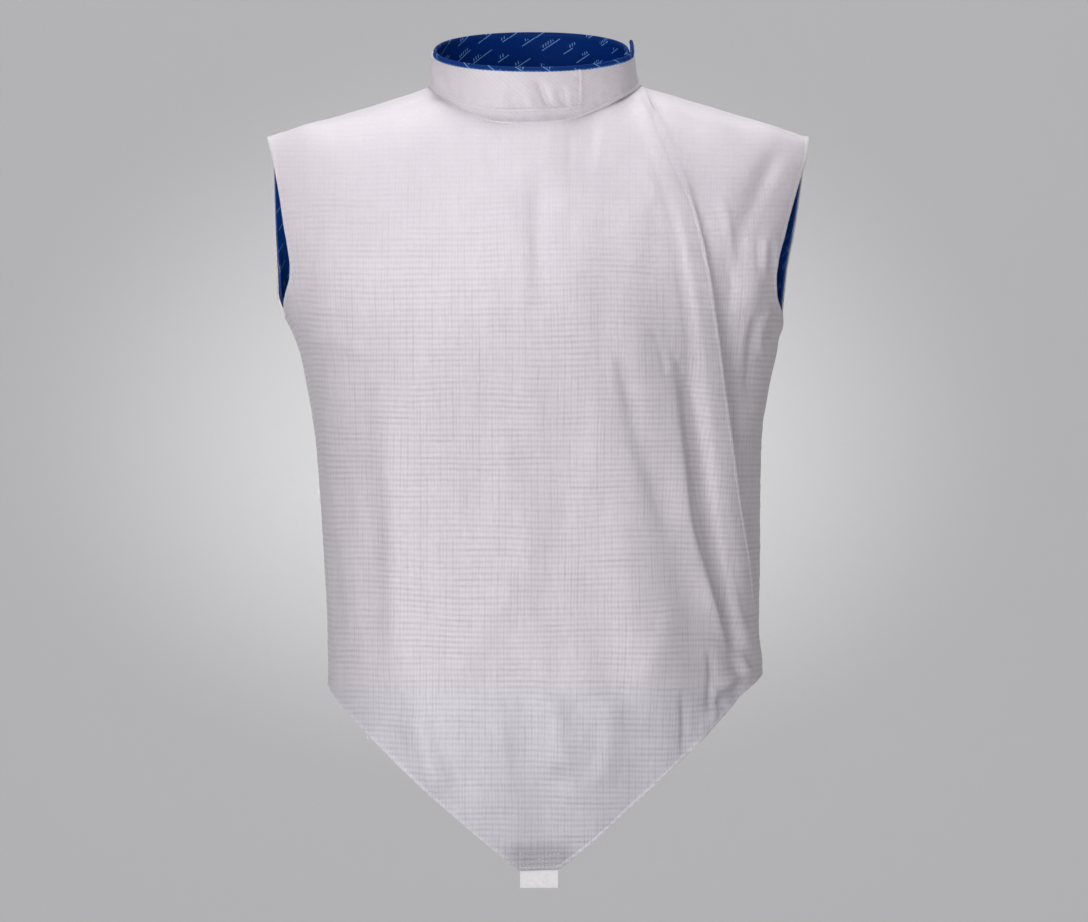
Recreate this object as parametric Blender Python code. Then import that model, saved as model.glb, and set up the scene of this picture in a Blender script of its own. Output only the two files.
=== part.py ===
# Foil fencing lame: a sleeveless vest of metallic cloth, filled out with no wearer.
# Metres, +Z up. The vest faces -Y, and +X is the wearer's left.
# The origin lies midway between the points where the collar meets the shoulders.

import math

import bpy
import numpy as np

# Cloth
SHELL_WALL = 0.0012
LINING_WALL = 0.0010
TAPE_WALL = 0.0010
SEAM_GAP = 0.0003
LINING_GAP = 0.0008  # inside of the shell to the lining
LINING_INSET = 0.003  # lining's edge back from the shell's hem
DIAGONAL_CHOICE = 0.92  # a cell is split along its second diagonal when it is this much shorter

# Shoulders and neck
SHOULDER_SLOPE = 0.31
RIDGE_Y = 0.010
RIDGE_GAP = 0.0008  # front to back at the middle of the neck, less towards the shoulder tips
ROLL_DEPTH = 0.27  # height over which the shoulder rolls into the chest
ROLL_POWER = 2.7
NECK_X = -0.004
NECK_HALF = 0.091
NECK_SOFTEN = 0.030
NECK_DROP = {"front": 0.037, "back": 0.004}  # below the shoulder line
NECK_CURVE = {"right": 2.8, "left": 2.4, "back": 7.0}  # higher is fuller
NECK_STEPS = {"front": 9, "back": 6}
SECTION_POWER = 2.4  # superellipse of the body's sections

# Sides and hem
SIDE_SEAM = math.radians(94)
SHOULDER_SHARE = 0.2  # share of a panel's height with the closest rows
ARM_ROUND = 0.030  # height over which the bottom of an armhole rounds off
ARM_EASE = 0.045  # the same for the columns further in, above and below the bottom
ARM_ROW = 0.0018  # a row lies this far under the bottom of each armhole
ARM_FOLLOW = 6  # how quickly columns lose the armhole's tight round
NECK_SHARE = 0.16  # share of a panel's height over which its rows lose the neck's curve
ARM_BOTTOM = {"right": -0.192, "left": -0.203}
HEM_CORNER = {"right": (-0.177, -0.503), "left": (0.1875, -0.492)}
HEM_POINT = {"right": (-0.0155, -0.6504), "left": (0.0173, -0.6504)}
HEM_BOW = 0.0035

# Rows down a panel and columns across it
SHOULDER_ROWS = 8
ARM_ROWS = 6
LOWER_ROWS = 12
ROW_CLOSING = 1.7  # higher puts more of the rows at the armhole's bottom
FRONT_COLUMNS = {"shoulder": 15, "chest": 19}
BACK_COLUMNS = 9  # beside each corner of the neck
SIDE_COLUMNS = 13
SIDE_LINING_COLUMNS = 7
TAPE_ROWS = 18

# Lapped edge of the front
FLAP_BAND = 0.018
FLAP_EASE = 0.010
FLAP_LIFT = 0.0033
FLAP_START = (0.006, 0.022)  # distance below the top edge over which the lift begins
FLAP_COLUMNS = (0.0225, 0.0180, 0.0130, 0.0085, 0.0040, 0.0012, 0.0)  # distances from the lapped edge
UNDERLAP = 0.015
UNDERLAP_START = (0.020, 0.045)  # distance below the shoulder over which the underlap begins
TAPE_COLUMNS = FLAP_COLUMNS[2:5]
TAPE_GAP = 0.0006
TAPE_HEIGHTS = (0.060, -0.455)  # drop below the shoulder at its top, height of its foot

# Collar
COLLAR_CENTRE = (-0.004, -0.011)
RIM_CENTRE = (-0.004, -0.0125)
RIM_HALF_WIDTH = 0.0838
RIM_HALF_DEPTH = 0.0675
RIM_POWER = 2.15
RIM_HEIGHT = 0.0252  # rim over RIM_CENTRE, without the roll
RIM_SLOPE = 0.291
COLLAR_BULGE = 0.0015
COLLAR_FLARE = 2.6  # higher keeps it upright further down, and flares it at the foot
COLLAR_SHARES = (0.018, 0.14, 0.36, 0.68, 1.0)  # rows up the collar, clear of the neck's seam
COLLAR_LINING_FOOT = 0.030
COLLAR_COLUMNS = 53
COLLAR_ENDS = (math.radians(78), math.radians(458))
COLLAR_LIFT = 0.0036  # outer end over the under end
COLLAR_LIFT_SPAN = (math.radians(400), math.radians(432))
COLLAR_EASE_DOWN = 0.05  # lower edge drops this share of the lift
EAR_RISE = 0.006
EAR_TURN = math.radians(14)
COLLAR_LINING_GAP = 0.0005
ROLL_HEIGHT = 0.0064
ROLL_THICK = 0.0028
ROLL_SIDES = 6
STRAP_TURNS = (math.radians(-112), math.radians(29))
STRAP_FOOT = (0.10, 0.13)  # share of the collar's height under the strap: sides, more in front
STRAP_COLUMNS = 25

# Loop at the point of the front
TAB_WIDTH = 0.031
TAB_HOLD = 0.004  # height over the hem at which it leaves the cloth
TAB_BELOW = 0.0130
TAB_BEHIND = 0.020
TAB_WALL = 0.0012
TAB_HOLLOW = 0.0005
TAB_GAP = 0.0008  # lining to the loop, which stands straight where the cloth curves

# Body sections: height, half-widths to the wearer's right and left, depths front and back
SECTION_COLUMNS = ("z", "right", "left", "front", "back")
SECTIONS = (
    (0.040, 0.2450, 0.2450, 0.145, 0.115),
    (-0.042, 0.2430, 0.2430, 0.145, 0.115),
    (-0.120, 0.2330, 0.2280, 0.145, 0.115),
    (-0.152, 0.2275, 0.2190, 0.145, 0.115),
    (-0.185, 0.2165, 0.2105, 0.145, 0.115),
    (-0.221, 0.2013, 0.1995, 0.143, 0.112),
    (-0.246, 0.1960, 0.1935, 0.140, 0.108),
    (-0.290, 0.1885, 0.1887, 0.135, 0.101),
    (-0.338, 0.1840, 0.1873, 0.131, 0.095),
    (-0.396, 0.1803, 0.1867, 0.129, 0.092),
    (-0.450, 0.1775, 0.1858, 0.130, 0.095),
    (-0.503, 0.1769, 0.1875, 0.132, 0.101),
    (-0.580, 0.1790, 0.1880, 0.124, 0.104),
    (-0.670, 0.1800, 0.1880, 0.098, 0.104),
)

# Armhole edges: height, distance from the middle of each edge
ARMHOLE_COLUMNS = ("z", "front_right", "front_left", "back_right", "back_left")
ARMHOLES = (
    (-0.0426, 0.2276, 0.2276, 0.2276, 0.2276),
    (-0.063, 0.2215, 0.2245, 0.2245, 0.2245),
    (-0.080, 0.2180, 0.2180, 0.2230, 0.2205),
    (-0.120, 0.2115, 0.2060, 0.2220, 0.2160),
    (-0.152, 0.2070, 0.1980, 0.2195, 0.2100),
    (-0.176, 0.2090, 0.1980, 0.2175, 0.2075),
    (-0.205, 0.2090, 0.1990, 0.2120, 0.2060),
)

# Lapped edge seen from the front
LAP_COLUMNS = ("z", "x")
LAP_EDGE = (
    (0.000, 0.0870),
    (-0.049, 0.1075),
    (-0.099, 0.1256),
    (-0.187, 0.1437),
    (-0.255, 0.1507),
    (-0.330, 0.1607),
    (-0.397, 0.1718),
    (-0.465, 0.1828),
    (-0.492, 0.1869),
)

# Soft folds seen from the front: ends, sideways bow, half-width and height of the ridge
FOLD_COLUMNS = ("x_top", "z_top", "x_foot", "z_foot", "bow", "spread", "height")
FRONT_FOLDS = (
    (0.092, -0.150, 0.140, -0.560, -0.012, 0.050, 0.0065),
    (0.116, -0.225, 0.173, -0.490, -0.014, 0.0075, -0.0070),
    (0.105, -0.240, 0.160, -0.500, -0.014, 0.0060, 0.0030),
    (0.067, -0.225, 0.112, -0.420, 0.000, 0.0080, -0.0055),
    (0.056, -0.230, 0.100, -0.430, 0.000, 0.0080, 0.0022),
    (-0.128, -0.235, -0.118, -0.505, 0.004, 0.012, 0.0035),
    (-0.196, -0.212, -0.140, -0.222, 0.000, 0.008, 0.0030),
    (-0.020, -0.060, 0.000, -0.330, 0.002, 0.014, 0.0022),
    (-0.100, -0.515, -0.082, -0.590, 0.000, 0.012, 0.0035),
    (0.010, -0.500, 0.020, -0.575, 0.000, 0.012, 0.0030),
    (0.060, -0.500, 0.052, -0.585, 0.000, 0.012, 0.0032),
    (-0.015, -0.400, -0.075, -0.500, 0.000, 0.016, 0.0028),
)
SIDE_FOLDS = ((0.196, -0.205, 0.178, -0.285, 0.005, 0.008, 0.0030),)
BACK_FOLDS = (
    (-0.110, -0.200, -0.085, -0.480, 0.006, 0.020, 0.0045),
    (-0.035, -0.260, -0.050, -0.520, 0.000, 0.014, 0.0035),
    (0.040, -0.180, 0.075, -0.500, 0.008, 0.024, 0.0050),
    (0.125, -0.240, 0.120, -0.470, -0.004, 0.012, 0.0030),
    (-0.160, -0.090, -0.090, -0.150, 0.004, 0.018, 0.0030),
    (0.165, -0.095, 0.095, -0.160, -0.004, 0.018, 0.0030),
)
FOLD_FADE = 0.22

COLOURS = {
    "foil cloth": ((0.63, 0.59, 0.63), 0.42, 0.35),
    "blue lining": ((0.020, 0.055, 0.260), 0.55, 0.0),
    "white webbing": ((0.66, 0.65, 0.68), 0.70, 0.0),
}


def table_value(rows, columns, name, at):
    """Smooth value of one column, read at a value of the first column, which falls."""
    place = columns.index(name)
    keys = np.array([row[0] for row in rows])[::-1]
    values = np.array([row[place] for row in rows])[::-1]
    slopes = np.gradient(values, keys)
    at = np.clip(at, keys[0], keys[-1])
    low = np.clip(np.searchsorted(keys, at) - 1, 0, len(keys) - 2)
    span = keys[low + 1] - keys[low]
    part = (at - keys[low]) / span
    start = values[low] * (1 + 2 * part) + slopes[low] * span * part
    end = values[low + 1] * (3 - 2 * part) - slopes[low + 1] * span * (1 - part)
    return start * (1 - part) ** 2 + end * part**2


def ramp(value, start, end):
    """0 at start, 1 at end, eased at both."""
    part = np.clip((value - start) / (end - start), 0, 1)
    return part * part * (3 - 2 * part)


def unit(vectors):
    return vectors / np.linalg.norm(vectors, axis=-1, keepdims=True)


def stack(x, y, z):
    return np.stack(np.broadcast_arrays(x, y, z), axis=-1)


# The smooth body under every panel


def shoulder_height(x):
    reach = np.sqrt(x**2 + NECK_SOFTEN**2) - math.hypot(NECK_HALF, NECK_SOFTEN)
    return -SHOULDER_SLOPE * reach


def shoulder_roll(drop):
    part = np.clip(drop / ROLL_DEPTH, 0, 1)
    return np.sqrt(1 - (1 - part) ** ROLL_POWER)


def half_width(is_left, z):
    left = table_value(SECTIONS, SECTION_COLUMNS, "left", z)
    right = table_value(SECTIONS, SECTION_COLUMNS, "right", z)
    return np.where(is_left, left, right)


def body_point(turn, z):
    """Turn is the angle from the front centre, positive to the wearer's left."""
    across, along = np.sin(turn), np.cos(turn)
    size = (abs(across) ** SECTION_POWER + abs(along) ** SECTION_POWER) ** (1 / SECTION_POWER)
    x = half_width(across > 0, z) * across / size
    front = table_value(SECTIONS, SECTION_COLUMNS, "front", z)
    back = table_value(SECTIONS, SECTION_COLUMNS, "back", z)
    deep = np.where(along > 0, front, back) * shoulder_roll(shoulder_height(x) - z)
    return stack(x, RIDGE_Y - (deep + RIDGE_GAP / 2) * along / size, z)


def turn_of(x, z):
    """Turn on the front half at which the body is at x."""
    share = np.clip(abs(x) / half_width(x > 0, z), 0, 0.998)
    along = (1 - share**SECTION_POWER) ** (1 / SECTION_POWER)
    return np.sign(x) * np.arctan2(share, along)


def surface_normal(point_at, turn, z):
    step_turn, step_z = 1e-4, 1e-5
    across = point_at(turn + step_turn, z) - point_at(turn - step_turn, z)
    up = point_at(turn, z + step_z) - point_at(turn, z - step_z)
    normal = unit(np.cross(across, up))
    x = point_at(turn, z)[..., 0]
    on_ridge = (shoulder_height(x) - z < 3 * step_z)[..., None]
    tilt = SHOULDER_SLOPE * x / np.sqrt(x**2 + NECK_SOFTEN**2)
    return np.where(on_ridge, unit(stack(tilt, 0 * x, 1 + 0 * x)), normal)


def fold_height(folds, x, z):
    total = np.zeros(np.broadcast(x, z).shape)
    for row in folds:
        fold = dict(zip(FOLD_COLUMNS, row))
        run = np.array([fold["x_foot"] - fold["x_top"], fold["z_foot"] - fold["z_top"]])
        length = np.hypot(*run)
        run = run / length
        from_top = (x - fold["x_top"]), (z - fold["z_top"])
        part = np.clip((from_top[0] * run[0] + from_top[1] * run[1]) / length, 0, 1)
        aside = from_top[1] * run[0] - from_top[0] * run[1]
        aside = aside - fold["bow"] * 4 * part * (1 - part)
        fade = ramp(part, 0, FOLD_FADE) * ramp(1 - part, 0, FOLD_FADE)
        total = total + fold["height"] * fade * np.exp(-((aside / fold["spread"]) ** 2))
    return np.maximum(total, 0)


def lap_edge(z):
    return table_value(LAP_EDGE, LAP_COLUMNS, "x", z)


def flap_lift(x, z):
    past_ease = FLAP_BAND + FLAP_EASE - (lap_edge(z) - x)
    return FLAP_LIFT * ramp(past_ease, 0, FLAP_EASE) * ramp(top_line(x, "front") - z, *FLAP_START)


def cloth_point(turn, z, folds, lift):
    """Point of a panel's outer face, its folds raised from the smooth body."""
    base = body_point(turn, z)
    x, up = base[..., 0], base[..., 2]
    raised = fold_height(folds, x, up) + (lift(x, up) if lift else 0)
    return base + surface_normal(body_point, turn, z) * raised[..., None]


# Outlines of the panels


def side_turn(side, half, z, soft):
    """Turn of the side seam and, above it, of the armhole's edge or an eased line inside it."""
    sign = 1 if side == "left" else -1
    x = table_value(ARMHOLES, ARMHOLE_COLUMNS, half + "_" + side, z)
    edge = turn_of(sign * x, z)
    if half == "back":
        edge = sign * math.pi - edge
    over = z - ARM_BOTTOM[side]
    if soft:
        part = ramp(over, -ARM_EASE, ARM_EASE)
    else:
        part = np.sqrt(1 - (1 - np.clip(over / ARM_ROUND, 0, 1)) ** 2)
    return sign * SIDE_SEAM + (edge - sign * SIDE_SEAM) * part


def neck_line(x, half):
    part = np.clip((x - NECK_X) / NECK_HALF, -1, 1)
    right, left = shoulder_height(NECK_X - NECK_HALF), shoulder_height(NECK_X + NECK_HALF)
    power = NECK_CURVE["back"]
    if half == "front":
        power = np.where(x > NECK_X, NECK_CURVE["left"], NECK_CURVE["right"])
    return (right + left + (left - right) * part) / 2 - NECK_DROP[half] * (1 - abs(part) ** power)


def neck_reach(half):
    """Distances from the middle of the neck, closest together at the shoulder line."""
    return NECK_HALF * (1 - np.linspace(0, 1, NECK_STEPS[half] + 1) ** 2)


def top_line(x, half):
    in_neck = abs(x - NECK_X) < NECK_HALF
    return np.where(in_neck, neck_line(x, half), shoulder_height(x))


def front_hem(x, turn):
    sides = []
    for side in ("right", "left"):
        corner, point = HEM_CORNER[side], HEM_POINT[side]
        part = np.clip((x - corner[0]) / (point[0] - corner[0]), 0, 1)
        sides.append(corner[1] + (point[1] - corner[1]) * part - HEM_BOW * 4 * part * (1 - part))
    return np.where(abs(turn) < math.pi / 2, np.where(x < 0, *sides), side_hem(turn))


def side_hem(turn):
    right, left = HEM_CORNER["right"][1], HEM_CORNER["left"][1]
    across = ramp(turn, SIDE_SEAM, 2 * math.pi - SIDE_SEAM)
    return np.where(turn > 0, left + (right - left) * across, right)


def row_shares(side):
    """Rows from the top edge to the hem, closer at the shoulder and the armhole's bottom."""
    tip = ARMHOLES[0][0]
    arm = (tip - ARM_BOTTOM[side] + ARM_ROW) / (tip - HEM_CORNER[side][1])
    top = SHOULDER_SHARE * np.linspace(0, 1, SHOULDER_ROWS) ** 2
    closing = 1 - np.linspace(1, 0, ARM_ROWS) ** ROW_CLOSING
    middle = SHOULDER_SHARE + (arm - SHOULDER_SHARE) * closing
    lower = np.linspace(arm, 1, LOWER_ROWS)
    return np.concatenate([top, middle[1:], lower[1:]])


def rows_across(first, last, count):
    """Row shares that pass evenly from one side's to the other's, so that seams meet row to row."""
    part = np.linspace(0, 1, count)
    return row_shares(first)[:, None] * (1 - part) + row_shares(last)[:, None] * part


def settle(line, turns_at, start):
    """Heights at which each column meets a line that depends on where the column is."""
    z = start
    for _ in range(40):
        turn = turns_at(z)
        z = 0.5 * z + 0.5 * line(body_point(turn, z)[..., 0], turn)
    return z


def panel_grid(columns, half, hem, sides, hem_inset=0.0):
    """Turns and heights of a panel's points, a row for each share of the way down."""
    count, turns_at = columns
    top = settle(lambda x, turn: top_line(x, half), turns_at, np.full(count, ARMHOLES[0][0]))
    foot = settle(hem, turns_at, np.full(count, HEM_CORNER["right"][1])) + hem_inset
    shoulder = shoulder_height(body_point(turns_at(top), top)[..., 0])
    rows = rows_across(*sides, count)
    neck = (top - shoulder) * np.clip(1 - rows / NECK_SHARE, 0, 1)
    z = shoulder + (foot - shoulder) * rows + neck
    return turns_at(z), z


# Solids


def wall_object(name, outer, inner, finish):
    """A wall between two grids of points, closed along its edges."""
    rows, columns = outer.shape[:2]
    points = np.concatenate([outer.reshape(-1, 3), inner.reshape(-1, 3)])
    back = rows * columns

    def at(row, column):
        return row * columns + column

    faces = []
    for r in range(rows - 1):
        for c in range(columns - 1):
            quad = [at(r, c), at(r + 1, c), at(r + 1, c + 1), at(r, c + 1)]
            spans = [np.linalg.norm(points[quad[i]] - points[quad[i + 2]]) for i in (0, 1)]
            turn = 1 if spans[1] < DIAGONAL_CHOICE * spans[0] else 0
            quad = quad[turn:] + quad[:turn]
            for corners in (quad[:3], [quad[0], *quad[2:]]):
                faces.append(corners)
                faces.append([back + p for p in corners[::-1]])
    edge = [(at(0, c + 1), at(0, c)) for c in range(columns - 1)]
    edge += [(at(rows - 1, c), at(rows - 1, c + 1)) for c in range(columns - 1)]
    edge += [(at(r, 0), at(r + 1, 0)) for r in range(rows - 1)]
    edge += [(at(r + 1, columns - 1), at(r, columns - 1)) for r in range(rows - 1)]
    faces += [[a, b, back + b, back + a][::-1] for a, b in edge]
    mesh = bpy.data.meshes.new(name)
    mesh.from_pydata(points.tolist(), [], faces)
    mesh_object(name, mesh, finish)


def mesh_object(name, mesh, finish):
    mesh.validate()
    mesh.shade_smooth()
    mesh.set_sharp_from_angle(angle=math.radians(50))
    colour, rough, metal = COLOURS[finish]
    material = bpy.data.materials.new(name + " " + finish)
    material.use_nodes = True
    shader = material.node_tree.nodes["Principled BSDF"]
    shader.inputs["Base Color"].default_value = (*colour, 1)
    shader.inputs["Roughness"].default_value = rough
    shader.inputs["Metallic"].default_value = metal
    mesh.materials.append(material)
    thing = bpy.data.objects.new(name, mesh)
    vest.objects.link(thing)


def shell_panel(name, columns, half, hem, sides, folds, lift=None):
    """Outer panel of the body, with its folds."""
    turn, z = panel_grid(columns, half, hem, sides)

    def point_at(turn, z):
        return cloth_point(turn, z, folds, lift)

    face, normal = point_at(turn, z), surface_normal(point_at, turn, z)
    wall_object(name, face, face - normal * SHELL_WALL, "foil cloth")


def lining_panel(name, columns, half, hem, sides):
    """Lining inside a panel, smooth where the shell is raised in folds."""
    turn, z = panel_grid(columns, half, hem, sides, LINING_INSET)
    face, normal = body_point(turn, z), surface_normal(body_point, turn, z)
    out = face - normal * (SHELL_WALL + LINING_GAP)
    wall_object(name, out, out - normal * LINING_WALL, "blue lining")


def front_columns():
    """Shares of the front's width up to the lapped band, with a column at the neck's corner."""
    x = NECK_X - neck_reach("front")
    z = neck_line(x, "front")
    neck = (turn_of(x, z) - right_edge(z)) / (band_edge(z) - right_edge(z))
    shoulder = np.linspace(0, neck[0], FRONT_COLUMNS["shoulder"])
    rest = np.linspace(neck[-1], 1, FRONT_COLUMNS["chest"])
    return np.concatenate([shoulder[:-1], neck[:-1], rest])


def back_columns():
    """Shares of the back's width, with a column at each corner of the neck."""
    reach = neck_reach("back")
    x = NECK_X + np.concatenate([reach, -reach[-2::-1]])
    z = neck_line(x, "back")
    neck = (math.pi - turn_of(x, z) - back_start(z)) / (back_end(z) - back_start(z))
    first, last = np.linspace(0, neck[0], BACK_COLUMNS), np.linspace(neck[-1], 1, BACK_COLUMNS)
    return np.concatenate([first[:-1], neck, last[1:]])


def columns_between(shares, start_at, end_at):
    """Columns at shares of the way between two edges, close to them only at either side."""

    def turns_at(z):
        start, end = start_at(z, True), end_at(z, True)
        near_start = (start_at(z, False) - start) * (1 - shares) ** ARM_FOLLOW
        near_end = (end_at(z, False) - end) * shares**ARM_FOLLOW
        return start + (end - start) * shares + near_start + near_end

    return len(shares), turns_at


def columns_inset(insets):
    """Columns at distances from the lapped edge."""
    return len(insets), lambda z: turn_of(lap_edge(z) - np.array(insets), z)


def side_by_side(*sets):
    count = sum(number for number, _ in sets)
    splits = np.cumsum([number for number, _ in sets])[:-1]

    def turns_at(z):
        parts = np.split(np.zeros(count) + z, splits, axis=-1)
        return np.concatenate([at(part) for (_, at), part in zip(sets, parts)], axis=-1)

    return count, turns_at


def half_gap(z):
    return SEAM_GAP / 2 / half_width(True, z)


def right_edge(z, soft=False):
    return side_turn("right", "front", z, soft) + half_gap(z)


def left_edge(z, soft=False):
    return side_turn("left", "front", z, soft) - half_gap(z)


def back_start(z, soft=False):
    return side_turn("left", "back", z, soft) + half_gap(z)


def back_end(z, soft=False):
    return 2 * math.pi + side_turn("right", "back", z, soft) - half_gap(z)


def band_edge(z, soft=False, gap=0.0):
    """Inner edge of the lapped band, where the front's lining is sewn to the side's."""
    return turn_of(lap_edge(z) - FLAP_BAND - FLAP_EASE + gap, z)


def underlap_edge(z, soft=False):
    x = lap_edge(z)
    under = UNDERLAP * ramp(shoulder_height(x) - z, *UNDERLAP_START)
    return turn_of(x + SEAM_GAP - under, z)


def level_hem(x, turn):
    return HEM_CORNER["left"][1] + 0 * x


def back_hem(x, turn):
    return side_hem(turn)


def add_body():
    front = columns_between(front_columns(), right_edge, band_edge)
    columns = side_by_side(front, columns_inset(FLAP_COLUMNS))
    shell_panel("front_panel", columns, "front", front_hem, ("right", "left"), FRONT_FOLDS, flap_lift)
    columns = columns_between(np.linspace(0, 1, SIDE_COLUMNS), underlap_edge, left_edge)
    shell_panel("side_front_panel", columns, "front", level_hem, ("left", "left"), SIDE_FOLDS)
    columns = columns_between(back_columns(), back_start, back_end)
    shell_panel("back_panel", columns, "back", back_hem, ("left", "right"), BACK_FOLDS)


def add_body_linings():
    """The linings take fewer columns than the shell, but share its rows."""
    shares = front_columns()
    neck = FRONT_COLUMNS["shoulder"] - 1
    chest = neck + NECK_STEPS["front"] - 1
    shares = np.concatenate([shares[:neck:2], shares[neck:chest], shares[chest::2]])
    columns = columns_between(shares, right_edge, lambda z, soft: band_edge(z, gap=-SEAM_GAP))
    lining_panel("front_lining", columns, "front", front_hem, ("right", "left"))
    band = columns_inset((FLAP_BAND + FLAP_EASE - SEAM_GAP, FLAP_COLUMNS[0]))
    side = columns_between(np.linspace(0, 1, SIDE_LINING_COLUMNS), underlap_edge, left_edge)
    columns = side_by_side(band, side)
    lining_panel("side_front_lining", columns, "front", level_hem, ("left", "left"))
    columns = columns_between(back_columns()[::2], back_start, back_end)
    lining_panel("back_lining", columns, "back", back_hem, ("left", "right"))


def add_closure_tape():
    """Plain strip between the lapped edge and the panel under it."""
    top = shoulder_height(lap_edge(-TAPE_HEIGHTS[0])) - TAPE_HEIGHTS[0]
    z = np.linspace(top, TAPE_HEIGHTS[1], TAPE_ROWS)[:, None]
    turn = turn_of(lap_edge(z) - np.array(TAPE_COLUMNS), z)
    z = z + 0 * turn
    normal = surface_normal(body_point, turn, z)
    foot = body_point(turn, z) + normal * TAPE_GAP
    wall_object("closure_tape", foot + normal * TAPE_WALL, foot, "white webbing")


# Collar


def neck_loop():
    """Plan angle and place of points all round the neck's seam."""
    part = np.linspace(-1, 1, 401)
    x = NECK_X + NECK_HALF * np.sign(part) * (1 - (1 - abs(part)) ** 2)
    front_z, back_z = neck_line(x, "front"), neck_line(x, "back")
    front = body_point(turn_of(x, front_z), front_z)
    back = body_point(math.pi - turn_of(x, back_z), back_z)
    points = np.concatenate([front, back[::-1]])
    plan = np.arctan2(points[:, 0] - COLLAR_CENTRE[0], COLLAR_CENTRE[1] - points[:, 1])
    order = np.argsort(plan)
    return plan[order], points[order]


def collar_point(turn, share):
    """Outer face of the collar: turn from the front centre, share of its height."""
    plan, points = neck_loop()
    angle = (turn + math.pi) % (2 * math.pi) - math.pi
    foot = [np.interp(angle, plan, points[:, i], period=2 * math.pi) for i in range(3)]
    foot = np.stack(foot, axis=-1)
    across, along = np.sin(turn), np.cos(turn)
    size = (abs(across) ** RIM_POWER + abs(along) ** RIM_POWER) ** (1 / RIM_POWER)
    x = RIM_CENTRE[0] + RIM_HALF_WIDTH * across / size
    y = RIM_CENTRE[1] - RIM_HALF_DEPTH * along / size
    ear = EAR_RISE * ramp(turn, COLLAR_ENDS[1] - EAR_TURN, COLLAR_ENDS[1])
    rim = stack(x, y, RIM_HEIGHT + RIM_SLOPE * (y - RIM_CENTRE[1]) + ear)
    raised = COLLAR_LIFT * ramp(turn, *COLLAR_LIFT_SPAN)
    foot = foot - stack(0, 0, COLLAR_EASE_DOWN * raised)
    share = np.asarray(share)[..., None]
    out = stack(across, -along, 0 * across)
    bulge = COLLAR_BULGE * np.sin(math.pi * share)
    upright = 1 - np.maximum(1 - share, 0) ** COLLAR_FLARE
    rise = np.concatenate([upright, upright, share], axis=-1)
    return foot + (rim - foot) * rise + out * (bulge + np.asarray(raised)[..., None])


def collar_normal(turn, share):
    step = 1e-3
    across = collar_point(turn + step, share) - collar_point(turn - step, share)
    up = collar_point(turn, share + step) - collar_point(turn, share - step)
    return unit(np.cross(across, up))


def collar_wall(name, turns, shares, out, wall, finish):
    turn, share = np.meshgrid(turns, shares[::-1])
    face, normal = collar_point(turn, share), collar_normal(turn, share)
    wall_object(name, face + normal * out, face + normal * (out - wall), finish)


def add_collar():
    turns = np.linspace(*COLLAR_ENDS, COLLAR_COLUMNS)
    collar_wall("collar_stand", turns, COLLAR_SHARES, 0.0, SHELL_WALL, "foil cloth")
    inside = -(SHELL_WALL + COLLAR_LINING_GAP)
    shares = np.maximum(COLLAR_SHARES, COLLAR_LINING_FOOT)
    collar_wall("collar_lining", turns, shares, inside, LINING_WALL, "blue lining")
    add_collar_roll(turns)
    add_collar_strap()


def add_collar_roll(turns):
    """Blue roll along the top edge of the collar."""
    top, normal = collar_point(turns, 1 + 0 * turns), collar_normal(turns, 1 + 0 * turns)
    rise = unit(top - collar_point(turns, COLLAR_SHARES[-2] + 0 * turns))
    middle = top - normal * (SHELL_WALL / 2) + rise * (SEAM_GAP + ROLL_HEIGHT / 2)
    rings = []
    for corner in (np.arange(ROLL_SIDES) + 0.5) * 2 * math.pi / ROLL_SIDES:
        across, up = ROLL_THICK / 2 * math.cos(corner), ROLL_HEIGHT / 2 * math.sin(corner)
        rings.append(middle + normal * across / math.cos(math.pi / ROLL_SIDES) + rise * up)
    points = np.array(rings).transpose(1, 0, 2)
    columns, sides = points.shape[:2]
    faces = [list(range(sides)), [(columns - 1) * sides + i for i in range(sides)][::-1]]
    for c in range(columns - 1):
        for i in range(sides):
            j = (i + 1) % sides
            a, b = c * sides, (c + 1) * sides
            faces.append([a + i, b + i, b + j, a + j])
    mesh = bpy.data.meshes.new("collar_roll")
    mesh.from_pydata(points.reshape(-1, 3).tolist(), [], faces)
    mesh_object("collar_roll", mesh, "blue lining")


def add_collar_strap():
    """Second layer over the front of the collar, clear of the neck's seam."""
    turns = np.linspace(*STRAP_TURNS, STRAP_COLUMNS)
    turn, part = np.meshgrid(turns, COLLAR_SHARES[::-1])
    foot = STRAP_FOOT[0] + STRAP_FOOT[1] * np.cos(turn) ** 2
    share = foot + (1 - foot) * part
    face, normal = collar_point(turn, share), collar_normal(turn, share)
    face = face + normal * SEAM_GAP
    wall_object("collar_strap", face + normal * SHELL_WALL, face, "foil cloth")


# Loop at the point


def add_tab():
    """Webbing folded into a loop, sewn inside the point of the front."""
    foot = HEM_POINT["left"][1]
    x = (HEM_POINT["left"][0] + HEM_POINT["right"][0]) / 2
    z = np.array(foot + TAB_HOLD)
    turn = turn_of(np.array(x), z)
    base, normal = body_point(turn, z), surface_normal(body_point, turn, z)
    side = np.array([1.0, 0.0, 0.0])
    down = unit(np.cross(normal, side))
    down = down * -np.sign(down[2])
    start = SHELL_WALL + LINING_GAP + LINING_WALL + TAB_GAP
    outer_radius = TAB_WALL + TAB_HOLLOW / 2
    bends = np.linspace(0, math.pi, 7)

    def loop(radius):
        middle = start + outer_radius
        fall = TAB_BELOW - outer_radius
        bend = [(middle - radius * math.cos(a), fall + radius * math.sin(a)) for a in bends]
        return [(middle - radius, -TAB_BEHIND), *bend, (middle + radius, -TAB_BEHIND)]

    def ribbon(radius):
        profile = np.array([base - normal * d + down * (w + TAB_HOLD) for d, w in loop(radius)])
        half = side * TAB_WIDTH / 2
        return np.stack([profile - half, profile + half], axis=1)

    wall_object("point_tab", ribbon(outer_radius), ribbon(TAB_HOLLOW / 2), "white webbing")


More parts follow.
